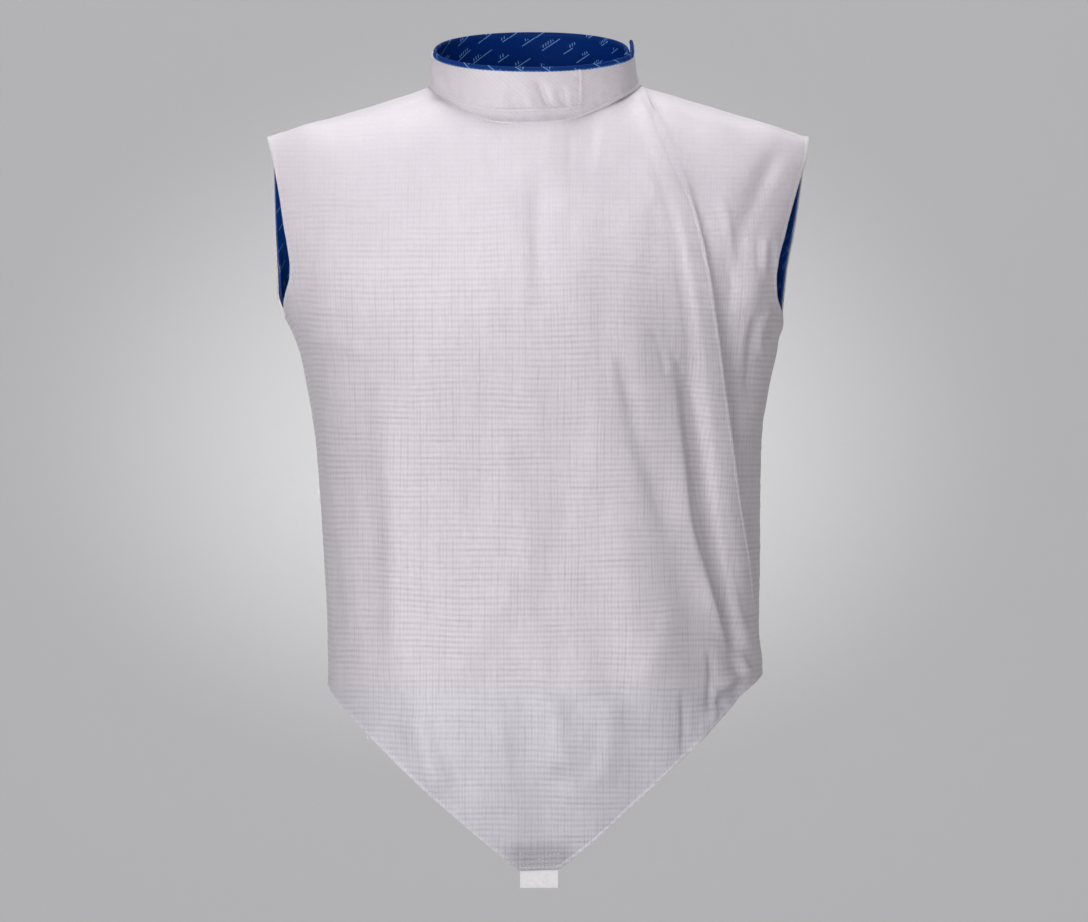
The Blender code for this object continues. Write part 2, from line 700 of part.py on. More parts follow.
for thing in list(bpy.data.objects):
    bpy.data.objects.remove(thing)
vest = bpy.data.collections.new("fencing lame")
bpy.context.scene.collection.children.link(vest)

add_body()
add_body_linings()
add_closure_tape()
add_collar()
add_tab()
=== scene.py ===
# Foil fencing lame: its cloth, stitching and studio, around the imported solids.
# Metres, +Z up. The vest faces -Y, and +X is the wearer's left.
import math

import bpy
import numpy as np
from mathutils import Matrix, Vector
from mathutils.kdtree import KDTree


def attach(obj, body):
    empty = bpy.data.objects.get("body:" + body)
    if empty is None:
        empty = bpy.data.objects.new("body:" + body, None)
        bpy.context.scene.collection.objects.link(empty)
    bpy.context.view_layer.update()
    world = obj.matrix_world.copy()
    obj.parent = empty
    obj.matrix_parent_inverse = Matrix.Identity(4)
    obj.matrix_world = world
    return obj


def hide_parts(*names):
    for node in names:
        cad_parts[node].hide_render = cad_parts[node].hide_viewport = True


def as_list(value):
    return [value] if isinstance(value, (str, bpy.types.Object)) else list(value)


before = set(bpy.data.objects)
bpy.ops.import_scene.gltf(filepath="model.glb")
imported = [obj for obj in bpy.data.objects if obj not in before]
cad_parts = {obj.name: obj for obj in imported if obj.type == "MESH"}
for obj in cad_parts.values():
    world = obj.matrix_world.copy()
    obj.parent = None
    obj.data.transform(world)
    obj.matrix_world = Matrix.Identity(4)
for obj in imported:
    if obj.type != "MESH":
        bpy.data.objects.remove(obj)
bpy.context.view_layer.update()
mm = 0.001
print("frame loaded:", len(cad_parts), "nodes")


# Small helpers

def ramp(value, start, end):
    part = np.clip((value - start) / (end - start), 0, 1)
    return part * part * (3 - 2 * part)


def hump(value, centre, width):
    return np.exp(-(((value - centre) / width) ** 2))


def unit(vectors):
    return vectors / np.linalg.norm(vectors, axis=-1, keepdims=True)


def stack(*parts):
    return np.stack(np.broadcast_arrays(*parts), axis=-1)


def runLengths(line):
    # Length along a line, from its start to each of its points.
    return np.concatenate([[0], np.cumsum(np.linalg.norm(np.diff(line, axis=0), axis=1))])


def columnsOf(names, rows):
    # Columns of a table whose first column falls, turned so that it rises.
    return dict(zip(names.split(), np.array(rows)[::-1].T))


def tableValue(table, name, at):
    # Smooth value of one column, read at a value of the first one.
    keys, values = next(iter(table.values())), table[name]
    slopes = np.gradient(values, keys)
    at = np.clip(at, keys[0], keys[-1])
    low = np.clip(np.searchsorted(keys, at) - 1, 0, len(keys) - 2)
    span = keys[low + 1] - keys[low]
    part = (at - keys[low]) / span
    start = values[low] * (1 + 2 * part) + slopes[low] * span * part
    end = values[low + 1] * (3 - 2 * part) - slopes[low + 1] * span * (1 - part)
    return start * (1 - part) ** 2 + end * part**2


# The smooth body under every panel, as in the solids

bodyForm = {
    "shoulderSlope": 0.31,
    "ridgeY": 0.010,
    "ridgeGap": 0.0008,
    "rollDepth": 0.27,  # height over which the shoulder rolls into the chest
    "rollPower": 2.7,
    "neckX": -0.004,
    "neckHalf": 0.0875,
    "shoulderFrom": 0.091,
    "neckSoften": 0.030,
    "sectionPower": 2.4,
    "sideSeam": math.radians(94),
}
cloth = {"shell": 0.0012, "lining": 0.0010, "tape": 0.0010, "seamGap": 0.0003, "liningGap": 0.0008}

# height, half-widths to the wearer's right and left, depths front and back
sections = columnsOf("z right left front back", (
    (0.040, 0.2450, 0.2450, 0.145, 0.115),
    (-0.042, 0.2430, 0.2430, 0.145, 0.115),
    (-0.120, 0.2330, 0.2280, 0.145, 0.115),
    (-0.152, 0.2275, 0.2190, 0.145, 0.115),
    (-0.185, 0.2165, 0.2105, 0.145, 0.115),
    (-0.221, 0.2013, 0.1995, 0.143, 0.112),
    (-0.246, 0.1960, 0.1935, 0.140, 0.108),
    (-0.290, 0.1885, 0.1887, 0.135, 0.101),
    (-0.338, 0.1840, 0.1873, 0.131, 0.095),
    (-0.396, 0.1803, 0.1867, 0.129, 0.092),
    (-0.450, 0.1775, 0.1857, 0.130, 0.095),
    (-0.503, 0.1769, 0.1857, 0.132, 0.101),
    (-0.580, 0.1790, 0.1855, 0.124, 0.104),
    (-0.670, 0.1800, 0.1855, 0.098, 0.104),
))
# height, distance of each armhole edge from the middle
armholes = columnsOf("z frontRight frontLeft backRight backLeft", (
    (-0.0426, 0.2276, 0.2276, 0.2276, 0.2276),
    (-0.063, 0.2215, 0.2245, 0.2248, 0.2250),
    (-0.080, 0.2180, 0.2180, 0.2245, 0.2235),
    (-0.120, 0.2115, 0.2060, 0.2240, 0.2185),
    (-0.152, 0.2070, 0.1980, 0.2222, 0.2130),
    (-0.176, 0.2090, 0.1980, 0.2196, 0.2102),
    (-0.205, 0.2075, 0.1990, 0.2120, 0.2060),
))
shoulderTip = -0.0426
# lapped edge of the front: height, distance from the middle
lapTable = columnsOf("z x", (
    (0.000, 0.0870), (-0.049, 0.1075), (-0.099, 0.1256), (-0.187, 0.1437), (-0.255, 0.1507),
    (-0.330, 0.1607), (-0.397, 0.1718), (-0.465, 0.1828), (-0.492, 0.1869),
))


def shoulderHeight(x):
    soften = bodyForm["neckSoften"]
    reach = np.sqrt(x**2 + soften**2) - math.hypot(bodyForm["shoulderFrom"], soften)
    return -bodyForm["shoulderSlope"] * reach


def shoulderRoll(drop):
    part = np.clip(drop / bodyForm["rollDepth"], 0, 1)
    return np.sqrt(1 - (1 - part) ** bodyForm["rollPower"])


def halfWidth(isLeft, z):
    return np.where(isLeft, tableValue(sections, "left", z), tableValue(sections, "right", z))


def superSize(across, along):
    power = bodyForm["sectionPower"]
    return (abs(across) ** power + abs(along) ** power) ** (1 / power)


def bodyPoint(turn, z):
    # Turn is the angle from the front centre, positive to the wearer's left.
    across, along = np.sin(turn), np.cos(turn)
    size = superSize(across, along)
    x = halfWidth(across > 0, z) * across / size
    depth = np.where(along > 0, tableValue(sections, "front", z), tableValue(sections, "back", z))
    depth = depth * shoulderRoll(shoulderHeight(x) - z)
    return stack(x, bodyForm["ridgeY"] - (depth + bodyForm["ridgeGap"] / 2) * along / size, z)


def turnOf(x, z):
    # Turn on the front half at which the body is at x.
    power = bodyForm["sectionPower"]
    share = np.clip(abs(x) / halfWidth(x > 0, z), 0, 0.998)
    return np.sign(x) * np.arctan2(share, (1 - share**power) ** (1 / power))


def bodyNormal(turn, z):
    stepTurn, stepZ = 1e-4, 1e-5
    across = bodyPoint(turn + stepTurn, z) - bodyPoint(turn - stepTurn, z)
    up = bodyPoint(turn, z + stepZ) - bodyPoint(turn, z - stepZ)
    normal = unit(np.cross(across, up))
    x = bodyPoint(turn, z)[..., 0]
    onRidge = (shoulderHeight(x) - z < 3 * stepZ)[..., None]
    tilt = bodyForm["shoulderSlope"] * x / np.sqrt(x**2 + bodyForm["neckSoften"] ** 2)
    return np.where(onRidge, unit(stack(tilt, 0 * x, 1 + 0 * x)), normal)


# Places on the cloth, so that the weave follows it

clothMeasure = {"depthShare": 0.68, "rollDepth": 0.125, "rollTop": -0.012}


def arcTable():
    # Length along a section of half-width 1, from the front centre to each turn.
    turns = np.linspace(0, math.pi, 721)
    across, along = np.sin(turns), np.cos(turns)
    size = superSize(across, along)
    return turns, runLengths(stack(across / size, clothMeasure["depthShare"] * along / size))


def rollTable():
    # Length of cloth down the chest, over the height that it covers.
    drops = np.linspace(0, bodyForm["rollDepth"], 400)
    depth = clothMeasure["rollDepth"] * shoulderRoll(drops)
    extra = np.hypot(np.diff(depth), np.diff(drops)) - np.diff(drops)
    return clothMeasure["rollTop"] - drops[::-1], np.concatenate([[0], np.cumsum(extra[::-1])])


arcTurns, arcLengths = arcTable()
rollHeights, rollExtra = rollTable()


def clothPlace(turn, z, fromBack):
    # Metres across and up the cloth, from the centre of the front or the back.
    width = halfWidth(np.sin(turn) > 0, z)
    if fromBack:
        backTurns, backLengths = math.pi - arcTurns[::-1], arcLengths[-1] - arcLengths[::-1]
        across = width * np.sign(turn - math.pi) * np.interp(abs(math.pi - turn), backTurns, backLengths)
    else:
        across = width * np.sign(turn) * np.interp(abs(turn), arcTurns, arcLengths)
    return stack(across, z + np.interp(-z, -rollHeights, rollExtra))


# Folds: (points of a line along the cloth, width to its left, width to its right, height), in millimetres

def bowed(xTop, zTop, xFoot, zFoot, bow):
    part = np.linspace(0, 1, 9)
    run = unit(np.array([xFoot - xTop, zFoot - zTop], float))
    aside = bow * 4 * part * (1 - part)
    x = xTop + (xFoot - xTop) * part - run[1] * aside
    return list(zip(x, zTop + (zFoot - zTop) * part + run[0] * aside))


def smoothLine(points, steps=4):
    # A curve through the points of a fold's line, in metres.
    points = np.array(points, float) * mm
    if len(points) > 8:
        return points
    padded = np.concatenate([2 * points[:1] - points[1:2], points, 2 * points[-1:] - points[-2:-1]])
    found = []
    for a, b, c, d in zip(padded, padded[1:], padded[2:], padded[3:]):
        for part in np.arange(steps) / steps:
            found.append(0.5 * (2 * b + (c - a) * part + (2 * a - 5 * b + 4 * c - d) * part**2
                                + (3 * b - a - 3 * c + d) * part**3))
    return np.array([*found, points[-1]])


def foldHeight(folds, x, z, fade=0.22, widths=3):
    # Height of all the folds, each felt within so many of its widths and fading out at its ends.
    x, z = np.broadcast_arrays(x, z)
    total = np.zeros(x.shape)
    for line, left, right, height in folds:
        points = smoothLine(line)
        reach = widths * max(left, right) * mm
        near = (x > points[:, 0].min() - reach) & (x < points[:, 0].max() + reach)
        near &= (z > points[:, 1].min() - reach) & (z < points[:, 1].max() + reach)
        if not near.any():
            continue
        place = np.stack([x[near], z[near]], axis=-1)[:, None]
        start, run = points[:-1], np.diff(points, axis=0)
        long = np.linalg.norm(run, axis=1)
        part = np.clip(((place - start) * run).sum(-1) / long**2, 0, 1)
        away = place - start - run * part[..., None]
        distance = np.linalg.norm(away, axis=-1)
        best = distance.argmin(axis=1)
        row = np.arange(len(best))
        aside = (away[..., 1] * run[:, 0] - away[..., 0] * run[:, 1])[row, best]
        before = runLengths(points)
        share = (before[best] + part[row, best] * long[best]) / before[-1]
        width = np.where(aside > 0, right, left) * mm
        ends = ramp(share, 0, fade) * ramp(1 - share, 0, fade)
        total[near] += height * mm * ends * hump(distance[row, best], 0, width)
    return total


swell = {"waves": (0.150, 0.110, 0.085, 0.070, 0.055, 0.045, 0.036), "heading": 0.6, "slant": 0.45,
         "bend": 1.5, "whole": 0.16}


def unevenness(x, z, seed, size=0.0009):
    # Slow swells that no piece of worn cloth is without.
    dice = np.random.default_rng(seed)
    total = np.zeros(np.broadcast(x, z).shape)
    for wave in swell["waves"]:
        heading, phase = dice.uniform(-swell["heading"], swell["heading"]), dice.uniform(0, 2 * math.pi)
        along = x * math.cos(heading) + swell["slant"] * z * math.sin(heading)
        total = total + wave * np.sin(along * 2 * math.pi / wave + swell["bend"] * np.sin(z / wave) + phase)
    return total * size / swell["whole"]


# the first rows are the main forms that the solids have too
frontMain = (
    (bowed(74, -150, 116, -560, -12), 50, 34, 6.5),
    ([(117, -212), (126, -262), (133, -308), (144, -360), (151, -400), (159, -440), (171, -478),
      (186, -520)], 11, 7, -8.6),
    ([(104, -220), (111, -262), (115, -308), (120, -358), (129, -397), (139, -424), (151, -448),
      (166, -478)], 11, 6, 3.4),
    ([(64, -222), (70, -250), (77, -280), (86, -312), (97, -345), (106, -385)], 8, 14, -3.2),
    ([(58, -222), (63, -250), (71, -280)], 6, 4, 1.2),
    ([(141, -190), (149, -255), (158, -320), (168, -385), (178, -445)], 18, 9, 3.6),
    (bowed(-128, -235, -118, -505, 4), 12, 12, 3.5),
    (bowed(-196, -212, -140, -222, 0), 8, 8, 3.0),
    (bowed(-20, -60, 0, -330, 2), 14, 14, 2.2),
    (bowed(-100, -515, -82, -590, 0), 12, 12, 3.5),
    (bowed(10, -500, 20, -575, 0), 12, 12, 3.0),
    (bowed(60, -500, 52, -585, 0), 12, 12, 3.2),
    (bowed(-15, -400, -75, -500, 0), 16, 16, 2.8),
)
frontDepth = 0.0040  # the front dips no further than this, and not over the underlap
frontCreases = (
    ([(111, -241), (117, -289), (123, -362), (134, -398), (151, -438), (173, -492)], 5, 2.5, 1.4),
    ([(131, -392), (140, -426), (152, -455), (167, -482), (180, -500)], 5, 3, 2.6),
    ([(144, -410), (150, -433), (160, -453), (170, -473), (182, -496)], 2.5, 3, -2.8),
    ([(155, -420), (160, -433), (170, -453), (180, -478)], 3, 3, 1.2),
    ([(106, -225), (113, -233), (121, -240)], 3, 3, -1.2),
    ([(100, -242), (110, -235), (119, -225)], 2.5, 3.5, 1.0),
    ([(90, -202), (95, -212), (100, -220)], 3, 3, -0.8),
    ([(96, -220), (101, -233), (101, -248)], 3, 3, -1.0),
    ([(115, -498), (118, -527), (118, -560)], 2.5, 5, -2.4),
    ([(139, -464), (142, -490), (139, -522)], 3, 5, -2.6),
    ([(134, -520), (154, -511), (182, -495)], 5, 7, -4.8),
    ([(143, -494), (147, -512), (142, -536)], 3, 3, 1.9),
    ([(141, -521), (133, -545), (124, -566)], 5, 5, 2.0),
    ([(146, -502), (160, -496), (178, -484)], 4, 4, 2.8),
    ([(-88, -525), (-76, -558), (-55, -590)], 5, 8, -1.4),
    ([(6, -509), (9, -533), (6, -559)], 4, 7, -1.3),
    ([(51, -509), (48, -545), (39, -582)], 5, 8, -1.3),
    ([(-31, -513), (-26, -557), (-21, -600)], 6, 6, 1.0),
    ([(116, -411), (100, -456), (83, -501)], 8, 12, 1.6),
    ([(-207, -188), (-187, -280), (-170, -396), (-158, -494)], 10, 5, -2.0),
    ([(-199, -222), (-171, -219), (-141, -221)], 3, 2, -1.1),
    ([(-122, -240), (-120, -362), (-122, -501)], 3, 8, 0.9),
    ([(-158, -305), (-149, -350), (-147, -397)], 5, 7, 1.0),
    ([(-62, -237), (-61, -269)], 3, 5, 0.6),
    ([(-7, -39), (-2, -125), (-3, -208), (0, -281)], 4, 9, -1.0),
    ([(-43, -36), (-41, -66), (-39, -96)], 4, 5, -0.7),
    ([(-16, -36), (-14, -70), (-13, -105)], 4, 4, 0.7),
    ([(9, -35), (8, -64), (7, -91)], 4, 5, 0.8),
    ([(27, -33), (26, -66), (24, -100)], 4, 5, -0.8),
    ([(55, -27), (51, -57), (44, -91)], 4, 5, 0.8),
    ([(-167, -502), (-80, -502), (18, -502), (116, -501), (177, -500)], 1.4, 2.2, -0.75),
    ([(84, -60), (96, -90), (106, -130)], 6, 5, 1.0),
)
sideCreases = (
    (bowed(196, -205, 178, -285, 5), 8, 8, 3.0),
    ([(122, -70), (131, -99), (141, -140), (149, -187), (155, -235), (160, -285), (166, -330), (176, -390)],
     4, 17, -4.6),
    ([(148, -150), (152, -187), (157, -230), (163, -280)], 5, 20, -2.0),
    ([(206, -46), (186, -84), (175, -109), (166, -132), (160, -165), (158, -200)], 9, 7, -3.0),
    ([(150, -92), (155, -112), (161, -138), (164, -160)], 4, 4, 1.3),
    ([(200, -112), (188, -142), (178, -168), (173, -200)], 8, 9, 2.6),
    ([(176, -262), (178, -310), (181, -352)], 9, 6, 2.2),
    ([(198, -188), (195, -204), (195, -228)], 2.5, 3, -1.6),
    ([(195, -184), (187, -201), (184, -217), (186, -232)], 2.5, 3.5, 2.0),
    ([(184, -190), (179, -199), (176, -214), (176, -236), (175, -260)], 2.5, 4, -2.2),
    ([(177, -192), (172, -206), (169, -224), (168, -246)], 3.5, 4, 1.6),
    ([(181, -130), (180, -161)], 2, 2.5, -0.9),
    ([(186, -128), (186, -162)], 2, 2.5, 0.9),
    ([(191, -130), (191, -160)], 2, 2.5, -0.9),
    ([(197, -130), (196, -158)], 2, 2.5, 0.9),
    ([(166, -276), (171, -330), (183, -363)], 5, 7, 1.6),
    ([(160, -322), (168, -363), (179, -396)], 4, 5, -1.6),
    ([(166, -405), (174, -440), (182, -470)], 5, 6, 1.3),
)
sideDepth = -0.0060  # the side dips no further under the lapped edge
backMain = (
    (bowed(-110, -200, -85, -480, 6), 20, 20, 4.5),
    (bowed(-35, -260, -50, -520, 0), 14, 14, 3.5),
    (bowed(40, -180, 75, -500, 8), 24, 24, 5.0),
    (bowed(125, -240, 120, -470, -4), 12, 12, 3.0),
    (bowed(-160, -90, -90, -150, 4), 18, 18, 3.0),
    (bowed(165, -95, 95, -160, -4), 18, 18, 3.0),
)
backCreases = (
    ([(-8, -30), (-4, -120), (2, -230)], 7, 9, -1.2),
    ([(-60, -20), (-52, -60), (-47, -105)], 5, 6, 0.9),
    ([(48, -18), (43, -64), (40, -110)], 5, 6, -0.9),
    ([(-172, -214), (-150, -228), (-118, -232)], 4, 3, 1.3),
    ([(171, -222), (148, -236), (112, -240)], 4, 3, 1.4),
    ([(-150, -290), (-141, -350), (-146, -420)], 6, 8, 1.3),
    ([(158, -300), (149, -370), (152, -450)], 6, 8, -1.3),
    ([(-90, -330), (-70, -400), (-66, -470)], 6, 9, -1.5),
    ([(10, -330), (22, -410), (12, -485)], 7, 9, 1.5),
    ([(95, -350), (104, -420), (96, -480)], 6, 8, -1.4),
)

# Outlines of the panels, as in the solids

outline = {
    "armRound": 0.030,
    "armEase": 0.045,
    "armRow": 0.0018,
    "armFollow": 6,
    "armBottom": {"Right": -0.192, "Left": -0.203},
    "neckDrop": {"front": 0.037, "back": 0.004},
    "neckCurve": {"right": 2.8, "left": 2.4, "back": 7.0},
    "neckShare": 0.16,
    "hemCorner": {"Right": (-0.177, -0.503), "Left": (0.1852, -0.492)},
    "hemPoint": {"Right": (-0.0155, -0.6504), "Left": (0.0173, -0.6504)},
    "hemBow": 0.0035,
    "liningInset": 0.003,
    "flapBand": 0.018,
    "flapEase": 0.010,
    "flapLift": 0.0033,
    "flapStart": (0.006, 0.160),
    "flapShares": (0.09, 0.18, 0.27, 0.36, 0.45, 0.53, 0.60, 0.67, 0.73, 0.79, 0.845, 0.88, 0.91, 0.94,
                   0.965, 0.985, 1.0),
    "liftBand": 0.0135,
    "liftEase": 0.0080,
    "dipFrom": (0.0145, 0.0220),
    # a shallow groove along the inner side of the fastening band
    "bandGroove": {"inset": 0.0255, "depth": 0.0009, "width": 0.0022, "top": (-0.13, -0.17),
                   "foot": (-0.495, -0.47)},
    "tuckFrom": (-0.112, -0.084),
    "tuckStart": (0.004, 0.020),
    "tuckWidth": 0.0090,
    "tuckDepth": -0.0008,
    "underlap": 0.015,
    "underlapStart": (0.020, 0.045),
    "underShares": (1, 0.85, 0.70, 0.56, 0.43, 0.31, 0.21, 0.145, 0.10, 0.07, 0.045, 0.02, 0, 0, 0),
    "underPast": (0, 0.0002, 0.0004, 0.0006, 0.0008, 0.0010, 0.0012, 0.0014, 0.0016, 0.0018, 0.0020, 0.0022,
                  0.0024, 0.0032, 0.0042),
    "underFlat": {"share": 0.9, "over": (0.002, -0.004), "tucked": (0.006, 0.0)},
    "underFront": (0.014, 0.018),
    "underInset": 0.0225,
    "backClear": 0.020,
    "armOverlap": 0.0005,
}
flapWidth = outline["flapBand"] + outline["flapEase"]


def lapEdge(z):
    return tableValue(lapTable, "x", z)


def sideTurn(side, half, z, soft):
    # Turn of the side seam and, above it, of the armhole's edge or an eased line inside it.
    sign = 1 if side == "Left" else -1
    seam = sign * bodyForm["sideSeam"]
    edge = turnOf(sign * tableValue(armholes, half + side, z), z)
    if half == "back":
        edge = sign * math.pi - edge
    over = z - outline["armBottom"][side]
    if soft:
        part = ramp(over, -outline["armEase"], outline["armEase"])
    else:
        part = np.sqrt(1 - (1 - np.clip(over / outline["armRound"], 0, 1)) ** 2)
    return seam + (edge - seam) * part


def neckLine(x, half):
    neckX, neckHalf, curve = bodyForm["neckX"], bodyForm["neckHalf"], outline["neckCurve"]
    part = np.clip((x - neckX) / neckHalf, -1, 1)
    right, left = shoulderHeight(neckX - neckHalf), shoulderHeight(neckX + neckHalf)
    power = curve["back"] if half == "back" else np.where(x > neckX, curve["left"], curve["right"])
    return (right + left + (left - right) * part) / 2 - outline["neckDrop"][half] * (1 - abs(part) ** power)


def topLine(x, half):
    inNeck = abs(x - bodyForm["neckX"]) < bodyForm["neckHalf"]
    return np.where(inNeck, neckLine(x, half), shoulderHeight(x))


def flapLift(x, z):
    pastEase = outline["liftBand"] + outline["liftEase"] - (lapEdge(z) - x)
    start = ramp(topLine(x, "front") - z, *outline["flapStart"])
    return outline["flapLift"] * ramp(pastEase, 0, outline["liftEase"]) * start


def tuckShare(x, z, inside):
    # High on the chest the lapped edge rolls down to the side, and shows only as a soft step.
    start = ramp(topLine(x, "front") - z, *outline["tuckStart"])
    return ramp(z, *outline["tuckFrom"]) * start * (1 - ramp(inside, 0, outline["tuckWidth"]))


def sideHem(x, turn):
    right, left = outline["hemCorner"]["Right"][1], outline["hemCorner"]["Left"][1]
    seam = bodyForm["sideSeam"]
    return np.where(turn > 0, left + (right - left) * ramp(turn, seam, 2 * math.pi - seam), right)


def frontHem(x, turn):
    sides = []
    for side in ("Right", "Left"):
        corner, point = outline["hemCorner"][side], outline["hemPoint"][side]
        part = np.clip((x - corner[0]) / (point[0] - corner[0]), 0, 1)
        sides.append(corner[1] + (point[1] - corner[1]) * part - outline["hemBow"] * 4 * part * (1 - part))
    return np.where(abs(turn) < math.pi / 2, np.where(x < 0, *sides), sideHem(x, turn))


def levelHem(x, turn):
    return outline["hemCorner"]["Left"][1] + 0 * x


def halfGap(z):
    return cloth["seamGap"] / 2 / halfWidth(True, z)


def rightEdge(z, soft=False):
    return sideTurn("Right", "front", z, soft) + halfGap(z)


def leftEdge(z, soft=False):
    return sideTurn("Left", "front", z, soft) - halfGap(z)


def backStart(z, soft=False):
    return sideTurn("Left", "back", z, soft) + halfGap(z)


def backEnd(z, soft=False):
    return 2 * math.pi + sideTurn("Right", "back", z, soft) - halfGap(z)


def bandEdge(z, soft=False, gap=0.0):
    return turnOf(lapEdge(z) - flapWidth + gap, z)


def underlapWidth(z):
    return outline["underlap"] * ramp(shoulderHeight(lapEdge(z)) - z, *outline["underlapStart"])


def underlapEdge(z, soft=False):
    return turnOf(lapEdge(z) + cloth["seamGap"] - underlapWidth(z), z)


def pastLapEdge(z, soft=False):
    return turnOf(lapEdge(z) + cloth["seamGap"] + outline["underPast"][-1], z)


# Rows and columns of each panel's grid

edgeSteps = np.array((0, 0.0010, 0.0024, 0.0042, 0.0060, 0.0074, 0.0095))
rowForm = {"shoulderShare": 0.2, "shoulderClosing": 1.5, "armClosing": 1.7, "hemSteps": 0.72,
           "neckEven": 0.3}
shellRows = {"shoulder": 34, "arm": 34, "lower": 118, "closeHem": True}
liningRows = {"shoulder": 12, "arm": 14, "lower": 40, "closeHem": False}
closing = {"arm": 3.2, "sideArm": 2.5, "collar": 6.0, "strapEnd": 1.6}  # scales of the edge steps there


def rowShares(side, rows):
    # Rows from the top edge to the hem, closer at the shoulder, the armhole's bottom and the hem.
    foot, top = outline["hemCorner"][side][1], rowForm["shoulderShare"]
    arm = (shoulderTip - outline["armBottom"][side] + outline["armRow"]) / (shoulderTip - foot)
    shoulder = top * np.linspace(0, 1, rows["shoulder"]) ** rowForm["shoulderClosing"]
    middle = top + (arm - top) * (1 - np.linspace(1, 0, rows["arm"]) ** rowForm["armClosing"])
    hem = 1 - edgeSteps[::-1] * rowForm["hemSteps"] if rows["closeHem"] else np.array([1.0])
    return np.concatenate([shoulder, middle[1:], np.linspace(arm, hem[0], rows["lower"])[1:], hem[1:]])


def settle(line, turnsAt, z, rounds=40):
    # Heights at which each column meets a line that depends on where the column is, found by half steps.
    for _ in range(rounds):
        turn = turnsAt(z)
        z = 0.5 * z + 0.5 * line(bodyPoint(turn, z)[..., 0], turn)
    return z


def panelGrid(columns, form, rows=shellRows, hemInset=0.0):
    # Turn and height at each row and column, with one count of rows fitted to either end of the panel.
    count, turnsAt = columns
    top = settle(lambda x, turn: topLine(x, form["half"]), turnsAt, np.full(count, shoulderTip))
    foot = settle(form["hem"], turnsAt, np.full(count, outline["hemCorner"]["Right"][1])) + hemInset
    shoulder = shoulderHeight(bodyPoint(turnsAt(top), top)[..., 0])
    part = np.linspace(0, 1, count)
    first, last = (rowShares(side, rows)[:, None] for side in form["corners"])
    shares = first * (1 - part) + last * part
    neck = (top - shoulder) * np.clip(1 - shares / outline["neckShare"], 0, 1)
    z = shoulder + (foot - shoulder) * shares + neck
    return turnsAt(z), z


def columnsBetween(shares, startAt, endAt):
    def turnsAt(z):
        start, end = startAt(z, True), endAt(z, True)
        follow = outline["armFollow"]
        nearStart = (startAt(z, False) - start) * (1 - shares) ** follow
        nearEnd = (endAt(z, False) - end) * shares**follow
        return start + (end - start) * shares + nearStart + nearEnd
    return len(shares), turnsAt


def columnsInset(insets):
    return len(insets), lambda z: turnOf(lapEdge(z) - np.array(insets), z)


def columnsUnder():
    under, past = np.array(outline["underShares"]), np.array(outline["underPast"])
    return len(under), lambda z: turnOf(lapEdge(z) + cloth["seamGap"] - underlapWidth(z) * under + past, z)


def sideBySide(*sets):
    count = sum(number for number, _ in sets)
    splits = np.cumsum([number for number, _ in sets])[:-1]

    def turnsAt(z):
        parts = np.split(np.zeros(count) + z, splits, axis=-1)
        return np.concatenate([at(part) for (_, at), part in zip(sets, parts)], axis=-1)
    return count, turnsAt


def evenShares(count, closeStart=0.0, closeEnd=0.0):
    # Even shares of a width, with edge steps at either end, each scaled.
    start = edgeSteps * closeStart if closeStart else np.array([0.0])
    end = 1 - edgeSteps[::-1] * closeEnd if closeEnd else np.array([1.0])
    return np.concatenate([start[:-1], np.linspace(start[-1], end[0], count), end[1:]])


def neckReach(steps):
    # Distances from the middle of the neck, closer at its corner.
    part, even = np.linspace(0, 1, steps + 1), rowForm["neckEven"]
    return bodyForm["neckHalf"] * (1 - even * part - (1 - even) * part**2)


def frontColumns(shoulder, neck, chest, close=0.0):
    x = bodyForm["neckX"] - neckReach(neck)
    z = neckLine(x, "front")
    found = (turnOf(x, z) - rightEdge(z)) / (bandEdge(z) - rightEdge(z))
    first = evenShares(shoulder, close) * found[0]
    return np.concatenate([first[:-1], found[:-1], np.linspace(found[-1], 1, chest)])


def backColumns(side, neck, close=0.0):
    reach = neckReach(neck)
    x = bodyForm["neckX"] + np.concatenate([reach, -reach[-2::-1]])
    z = neckLine(x, "back")
    found = (math.pi - turnOf(x, z) - backStart(z)) / (backEnd(z) - backStart(z))
    first = evenShares(side, close) * found[0]
    last = found[-1] + (1 - found[-1]) * evenShares(side, 0.0, close)
    return np.concatenate([first[:-1], found, last[1:]])


# Edges: a rolled, topstitched edge, or a pressed seam

edges = {
    "roll": 0.00034,
    "rollFrom": (-0.0004, 0.0007),
    "rollWidth": 0.0020,
    "groove": 0.0028,  # distance of the stitches from the edge
    "grooveDepth": 0.00022,
    "grooveWidth": 0.0006,
    "pucker": 0.00026,
    "puckerAt": 0.0045,
    "puckerWidth": 0.0042,
    "puckerWaves": (0.0083, 0.0119, 0.0171, 0.031),
    "seamDepth": 0.0007,
    "seamWidth": 0.0013,
    "seamRidge": 0.0004,
    "seamRidgeAt": 0.0050,
    "seamRidgeWidth": 0.0022,
    "seamPucker": 0.6,
    "seamClear": 0.015,  # folds die away over this distance from a seam
    "reach": 0.016,
    "step": 0.0006,
    "stitchLift": 0.0001,
    "softAbove": (-0.080, -0.104),
    # widths of the pale band beside an edge, partly wear and partly a painted highlight
    "pale": {"start": 0.0003, "side": 0.0016, "foot": 0.0027},
    "collarPale": {"start": 0.0002, "side": 0.0014, "foot": 0.0014},
}
borders = {"left": np.s_[:, 0], "right": np.s_[:, -1], "top": np.s_[0], "foot": np.s_[-1]}


